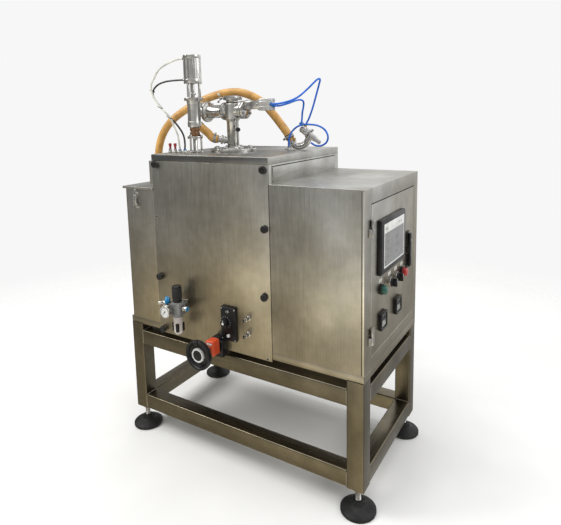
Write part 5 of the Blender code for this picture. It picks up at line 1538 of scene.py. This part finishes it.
fixed("valve_yoke_rods", "fitting",
     [rod(0.0043, (x, y, 1.154), (x, y, 1.2), 28) for x, y in around(0.021, 3, 0.4)])
make("valve_stem_rod", "fitting", "valve_stem",
     [rod(0.0048, (*VALVE, 1.09), (*VALVE, 1.24), 28),
      ring(0.0048, 0.0085, (*VALVE, 1.164), (*VALVE, 1.169), 32)],
     ["fill_valve_stem"])

# %% [markdown]
# The branch that feeds the short hose is a straight barb at an angle, with a clip round the hose.
# The two clips on this hose and the one at each end of the long hose are all made by the same
# function, as the fitter takes them from the same box.

# %% Valve branch and its hose
bend = JUMPER_START - JUMPER_IN * 0.022
fixed("valve_branch", "fitting",
     [rod(0.0105, JUMPER_START - JUMPER_IN * 0.0003, bend - JUMPER_IN * 0.006, 36),
      rod(0.0105, bend, (*VALVE, bend.z), 36),
      ring(0.01, 0.0135, JUMPER_START - JUMPER_IN * 0.01, JUMPER_START - JUMPER_IN * 0.006)])
fixed("short_hose_clips", "satin",
     hose_clip(JUMPER_START + JUMPER_IN * 0.01, JUMPER_IN, HOSE_RADIUS, (0, -1, 0.6))
     + hose_clip(JUMPER_END - JUMPER_OUT * 0.011, JUMPER_OUT, HOSE_RADIUS, (-0.2, -0.4, 1)))

# %% [markdown]
# The air cylinder on top is held together by four tie rods between two round caps. Its fluted
# barrel is the ribbed grip again, with few and deep ribs. Two fittings at its left take the air
# tubes, and three small black ties hold the tubes.

# %% Valve cylinder with its tie rods and air fittings
cylinder_tie = list(around(0.0262, 4, pi / 4))
fixed("valve_cylinder", "fitting",
     [turned([(0, 1.2003), (0.0285, 1.2003), (0.0285, 1.212), (0.0262, 1.2126), (0, 1.2126)], (*VALVE, 0),
             sides=64, soft=0.0004),
      knurled((*VALVE, 0), UP, 1.2122, 1.2762, 0.028, 10, 0.0026),
      turned([(0, 1.2758), (0.0285, 1.2762), (0.0285, 1.2862), (0.027, 1.2876), (0, 1.2876)], (*VALVE, 0),
             sides=64, soft=0.0004)],
     ["fill_valve_cylinder"])
fixed("valve_tie_rods", "satin",
     [rod(0.002, (x, y, 1.21), (x, y, 1.278), 16) for x, y in cylinder_tie]
     + [nut(0.0058, (x, y, 1.1985), (x, y, 1.201), 0.0003) for x, y in cylinder_tie])
fixed("valve_air_elbow_top", "black",
     [rod(0.0055, (VALVE[0] - 0.024, 0.098, 1.279), (VALVE[0] - 0.0345, 0.098, 1.279), 28, 0.0006),
      nut(0.011, (VALVE[0] - 0.0255, 0.098, 1.279), (VALVE[0] - 0.03, 0.098, 1.279))])
fixed("valve_air_elbow_low", "fitting",
     [rod(0.0055, (VALVE[0] - 0.024, 0.098, 1.213), (VALVE[0] - 0.035, 0.098, 1.213), 28, 0.0006),
      nut(0.0115, (VALVE[0] - 0.026, 0.098, 1.213), (VALVE[0] - 0.031, 0.098, 1.213))])
ties = []
for x, y, z in ((0.0805, 0.0865, 1.18), (0.127, 0.0712, 1.1245), (0.166, 0.07, 1.091)):
    ties += [rod(0.0042, (x, y, z - 0.0015), (x, y, z + 0.0015), 20, 0.0006),
             rod(0.001, (x, y - 0.003, z), (x - 0.006, y - 0.013, z + 0.006), 8, 0)]
fixed("tube_ties", "black", ties)

# %% [markdown]
# ## Cross valve
# Over the pump stands a column with a barrel across it. An air cylinder on the right turns the
# spool in the barrel, so the pump first draws from the tank and then pushes to the nozzle. The
# flanges are held by clamps with wing nuts, which come off by hand for cleaning.

# %% Wing nuts and clamps
PUMP = (0.328, 0.188)
CROSS_Z = 1.11
AXIS = (1, 0, 0)


def wing_nut(place, direction, across):
    """A hub with two upright wings on a short stud."""
    place = Vector(place)
    direction, across = Vector(direction).normalized(), Vector(across).normalized()
    shapes = [rod(0.0018, place - direction * 0.01, place + direction * 0.01, 16),
              turned([(0, 0), (0.005, 0), (0.0042, 0.006), (0, 0.006)], place, direction, 28)]
    for side in (-1, 1):
        root = place + direction * 0.003 + across * side * 0.004
        tip = place + direction * 0.012 + across * side * 0.012
        shapes.append(rod(0.0016, root, tip, 14, 0.0005))
        shapes.append(turned([(0, -0.0014), (0.0042, -0.0014), (0.0042, 0.0014), (0, 0.0014)], tip,
                             direction.cross(across), 24, 0.0006))
    return shapes


def clamp(place, direction, radius, width=0.012):
    """A clamp ring over a pair of flanges, with one lug on its side."""
    axis = Vector(direction).normalized()
    place = Vector(place)
    half = axis * width / 2
    side = axis.orthogonal().normalized()
    return [ring(radius - 0.005, radius, place - half, place + half, 56, 0.002),
            rod(0.0035, place + side * (radius + 0.0015) - half, place + side * (radius + 0.0015) + half,
                20)]


px, py = PUMP
print("a wing nut is", len(wing_nut((0, 0, 0), UP, AXIS)), "shapes")

# %% [markdown]
# The column and the barrel are turnings with the steps of their flanges in the profile. A port at
# an angle takes the short hose, and a ribbed screw sits lower on the column.

# %% Column, barrel and ports
fixed("base_flange", "fitting",
     [turned([(0, TOP), (0.075, TOP), (0.075, TOP + 0.0092), (0.0738, TOP + 0.01), (0.034, TOP + 0.01),
              (0.0335, TOP + 0.0125),
              (0.026, TOP + 0.0135), (0.0205, TOP + 0.018), (0, TOP + 0.018)], (px, py, 0), sides=88)],
      ["cross_valve_body"])
fixed("base_flange_bolts", "satin",
     [nut(0.013, (x, y, TOP + 0.01), (x, y, TOP + 0.0168), 0.0007) for x, y in around(0.059, 8, 0.2, PUMP)])
fixed("base_flange_washers", "satin",
     [ring(0.004, 0.009, (x, y, TOP + 0.0098), (x, y, TOP + 0.0112), 28) for x,
      y in around(0.059, 8, 0.2, PUMP)])
fixed("valve_column", "fitting",
     [turned([(0, 0.99), (0.0195, 0.99), (0.0195, 1.074), (0.0215, 1.08), (0.0258, 1.085), (0.0262, 1.132),
              (0.0215, 1.137), (0.0195, 1.14),
              (0.0195, 1.144), (0.025, 1.1465), (0.025, 1.1512), (0, 1.1512)], (px, py, 0), sides=64,
             soft=0.0005),
      turned([(0, 1.1518), (0.025, 1.1518), (0.025, 1.157), (0.021, 1.159), (0, 1.1596)], (px, py, 0),
             sides=56)])
fixed("valve_barrel", "fitting",
     [turned([(0, 0), (0.012, 0.0006), (0.022, 0.0028), (0.029, 0.0068), (0.0318, 0.011), (0.0318, 0.015),
              (0, 0.015)],
             (0.209, py, CROSS_Z), AXIS, 64, 0.0003),
      turned([(0, 0.0156), (0.03, 0.0156), (0.03, 0.019), (0.0225, 0.0225), (0.0212, 0.024),
              (0.0212, 0.084), (0.0262, 0.086),
              (0.0262, 0.0905), (0, 0.0905)], (0.209, py, CROSS_Z), AXIS, 64, 0.0004),
      turned([(0, 0.0912), (0.0262, 0.0912), (0.0262, 0.0955), (0.02, 0.0995), (0.02, 0.15), (0, 0.15)],
             (0.209, py, CROSS_Z), AXIS, 64, 0.0004)])
fixed("valve_clamps", "satin",
     clamp((px, py, 1.1515), UP, 0.0285) + clamp((0.2245, py, CROSS_Z), AXIS, 0.0345, 0.01)
     + clamp((0.2998, py, CROSS_Z), AXIS, 0.029, 0.011))
fixed("wing_nuts", "fitting",
     wing_nut((px - 0.0345, py - 0.012, 1.1515), (-0.2, -1, 0.1),
              (0, 0.1, 1)) + wing_nut((0.2245, py - 0.0345, CROSS_Z + 0.018), (0, -0.6, 0.8), (1, 0, 0))
     + wing_nut((0.2998, py - 0.029, CROSS_Z - 0.014), (0, -1, -0.3), (1, 0, 0.2)))
fixed("right_flange", "fitting",
     [turned([(0, 0), (0.029, 0), (0.029, 0.0092), (0, 0.0092)], (0.364, py, CROSS_Z + 0.003), AXIS, 56,
             0.0006),
      turned([(0, 0.01), (0.029, 0.01), (0.029, 0.0196), (0, 0.0196)], (0.364, py, CROSS_Z + 0.003), AXIS,
             56, 0.0006)])
fixed("right_flange_bolts", "satin",
     [nut(0.008, (x, py + 0.0225 * cos(a), CROSS_Z + 0.003 + 0.0225 * sin(a)),
          (x + 0.0045, py + 0.0225 * cos(a), CROSS_Z + 0.003 + 0.0225 * sin(a)), 0.0004)
      for a in (tau * (k + 0.5) / 6 for k in range(6)) for x in (0.3595, 0.3836)])
port_end = JUMPER_END + JUMPER_OUT * 0.046
fixed("column_port", "fitting",
     [rod(0.0105, JUMPER_END + JUMPER_OUT * 0.0003, port_end, 40),
      ring(0.01, 0.015, JUMPER_END + JUMPER_OUT * 0.01, JUMPER_END + JUMPER_OUT * 0.016, 44, 0.0008),
      ring(0.01, 0.0135, JUMPER_END + JUMPER_OUT * 0.02, JUMPER_END + JUMPER_OUT * 0.024, 44, 0.0008)])
fixed("column_bleed_screw", "black",
     [knurled((px + 0.0225, py - 0.013, 1.05), (0.86, -0.5, 0), 0.01, 0.018, 0.007, 14, 0.0007)])
fixed("column_bleed_stud", "fitting",
     [rod(0.004, (px + 0.014, py - 0.008, 1.05), (px + 0.0315, py - 0.0182, 1.05), 24)])

# %% [markdown]
# A square air cylinder on a round neck works the spool from the right. Its two tube sockets are
# tilted the way their blue tubes leave.

# %% Spool cylinder
NECK_Z = 1.127
fixed("spool_neck", "satin",
     [turned([(0, 0), (0.017, 0), (0.017, 0.01), (0.0135, 0.012), (0.0135, 0.046), (0.017, 0.048),
              (0.017, 0.0585), (0, 0.0585)],
             (0.3846, py, NECK_Z), AXIS, 56)], ["cross_valve_actuator"])
fixed("spool_neck_bracket", "fitting",
     [block((0.385, 0.443), (py - 0.0165, py - 0.014), (NECK_Z - 0.012, NECK_Z + 0.012), 0.0008),
      block((0.385, 0.443), (py + 0.014, py + 0.0165), (NECK_Z - 0.012, NECK_Z + 0.012), 0.0008)])
fixed("spool_cylinder", "alloy",
     [block((0.443, 0.4818), (py - 0.0188, py + 0.0188), (NECK_Z - 0.0188, NECK_Z + 0.0188), 0.0022, 4),
      *[block((0.445, 0.48), (py - 0.0192, py - 0.018), (NECK_Z + z - 0.002, NECK_Z + z + 0.002), 0.0006)
        for z in (-0.0075, 0.0075)]])
fixed("spool_cylinder_screws", "zinc",
     [cap_screw((0.4818, py + a, NECK_Z + b), AXIS, 0.0032, 0.0014) for a in (-0.013, 0.013)
      for b in (-0.013, 0.013)])
fixed("spool_push_ins", "blue",
     [turned([(0.0031, -0.006), (0.0056, -0.006), (0.0056, 0.0012), (0.0048, 0.0022), (0.0031, 0.0022)], p,
             d, 32, 0.0003)
      for p, d in (((0.4838, 0.18, 1.127), (0.94, 0.33, 0.05)), ((0.484, 0.196, 1.122), (0.87, 0.5, 0)))])

# %% [markdown]
# ## Dosing nozzle
# The nozzle lies on the top plate, as an operator leaves it between jobs. The hose runs into a
# polished elbow, the elbow into the nozzle's barrel, and two blue air tubes work the plunger that
# shuts its tip. The elbow is swept along a short curve, as a bent pipe is.

# %% Nozzle, elbow, tip and fittings
NOZZLE_Y = 0.3
NOZZLE_AXIS = Vector((0.808, 0, -0.589)).normalized()
NOZZLE_BACK = Vector((0.524, NOZZLE_Y, 1.05))


def along_nozzle(distance):
    return NOZZLE_BACK + NOZZLE_AXIS * distance


elbow_route = [HOSE_END + HOSE_OUT * GAP, HOSE_END + HOSE_OUT * 0.009, (0.501, NOZZLE_Y, 0.9915),
               (0.522, NOZZLE_Y, 0.9915), (0.541, NOZZLE_Y, 1.001),
               along_nozzle(0.04) + Vector((0, 0, 0.002))]
fixed("nozzle_elbow", "fitting",
     [swept(through_points(elbow_route, 0.003), 0.0108, 40),
      ring(0.01, 0.0142, HOSE_END + HOSE_OUT * 0.006, HOSE_END + HOSE_OUT * 0.0105, 44, 0.001)],
     ["nozzle_body"])
fixed("nozzle_barrel", "fitting",
     [turned([(0, 0), (0.011, 0), (0.013, 0.002), (0.013, 0.013), (0.0121, 0.014), (0.0121, 0.016),
              (0.013, 0.017), (0.013, 0.03),
              (0.01, 0.034), (0.01, 0.06), (0.007, 0.066), (0.007, 0.08), (0.0043, 0.08), (0.0043, 0.056),
              (0, 0.056)],
             NOZZLE_BACK, NOZZLE_AXIS, 56, 0.0004)])
make("nozzle_plunger_tip", "satin", "plunger",
     [rod(0.004, along_nozzle(0.0705), along_nozzle(0.083), 28, 0.0006)], ["nozzle_plunger"])
fixed("nozzle_clamp", "satin", clamp(along_nozzle(0.032), NOZZLE_AXIS, 0.016, 0.007))
fixed("nozzle_air_ports", "brass",
     [nut(0.01, (0.5243, 0.3, 1.0565), (0.524, 0.3, 1.064)),
      nut(0.01, (0.537, 0.3, 1.053), (0.5395, 0.3, 1.0605)),
      rod(0.005, (0.4965, 0.296, 1.006), (0.4995, 0.295, 1.018), 28)])
fixed("nozzle_push_ins", "blue",
     [ring(0.0031, 0.0054, (0.524, 0.3, 1.064), (0.524, 0.3, 1.0672), 28),
      ring(0.0031, 0.0054, (0.5395, 0.3, 1.0605), (0.54, 0.3, 1.0635), 28),
      rod(0.005, (0.524, 0.2915, 1.064), (0.524, 0.3085, 1.064), 20, 0.0008)])
fixed("hose_end_collar", "black",
     [ring(0.0131, 0.0152, HOSE_END - HOSE_OUT * 0.022, HOSE_END - HOSE_OUT * 0.008, 44, 0.001)])
fixed("hose_end_clip", "satin", hose_clip(HOSE_END - HOSE_OUT * 0.015, HOSE_OUT, 0.0152, (-0.6, -1, 0)))
fixed("nozzle_bracket", "satin",
     [block((0.463, 0.478), (0.29, 0.312), (TOP, TOP + 0.0025), 0.0007),
      block((0.4755, 0.478), (0.29, 0.312), (TOP, TOP + 0.023), 0.0007),
      cap_screw((0.469, 0.301, TOP + 0.0025), UP, 0.0036, 0.0022)])

# %% [markdown]
# Air passes the top plate through bulkhead fittings. Three have a tube in them. Two are spare and
# closed with red plugs.

# %% Fittings through the top plate
plate_fittings, plate_bodies = [], []
for x, y in ((0.199, 0.07), (0.221, 0.069), (0.489, 0.276)):
    top = PLATE_TOP + 0.0115
    plate_fittings.append(nut(0.013, (x, y, TOP), (x, y, TOP + 0.005), 0.0006))
    plate_fittings.append(ring(0.0033, 0.0055, (x, y, TOP + 0.004), (x, y, top - 0.002), 32, 0.0005))
    plate_bodies.append(ring(0.0031, 0.005, (x, y, top - 0.0025), (x, y, top + 0.0008), 32, 0.0005))
for x in (0.157, 0.179):
    plate_fittings.append(nut(0.013, (x, 0.07, TOP), (x, 0.07, TOP + 0.005), 0.0006))
    plate_fittings.append(rod(0.0052, (x, 0.07, TOP + 0.004), (x, 0.07, TOP + 0.013), 32, 0.0005))
fixed("plate_bulkheads", "fitting", plate_fittings)
fixed("plate_release_rings", "blue", plate_bodies)
fixed("plate_plugs", "red",
     [turned([(0, 0), (0.0036, 0), (0.0036, 0.01), (0.005, 0.0115), (0.005, 0.0185), (0.004, 0.02),
              (0, 0.02)], (x, 0.07, TOP + 0.011), UP, 28)
      for x in (0.157, 0.179)])

# %% Finish what the model carries over
CARRIED = {"pump_cylinder": "fitting", "drive_cylinder": "alloy", "pump_piston": "fitting"}
for name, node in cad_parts.items():
    if node.hide_render:
        continue
    finish = CARRIED.get(name, "satin")
    node.data.materials.clear()
    node.data.materials.append(FINISH[finish])
    print("carried over:", name, finish)

# %% [markdown] The last cell counts the pieces that were made.

# %% Pieces made
print("pieces made", len(made_pieces))
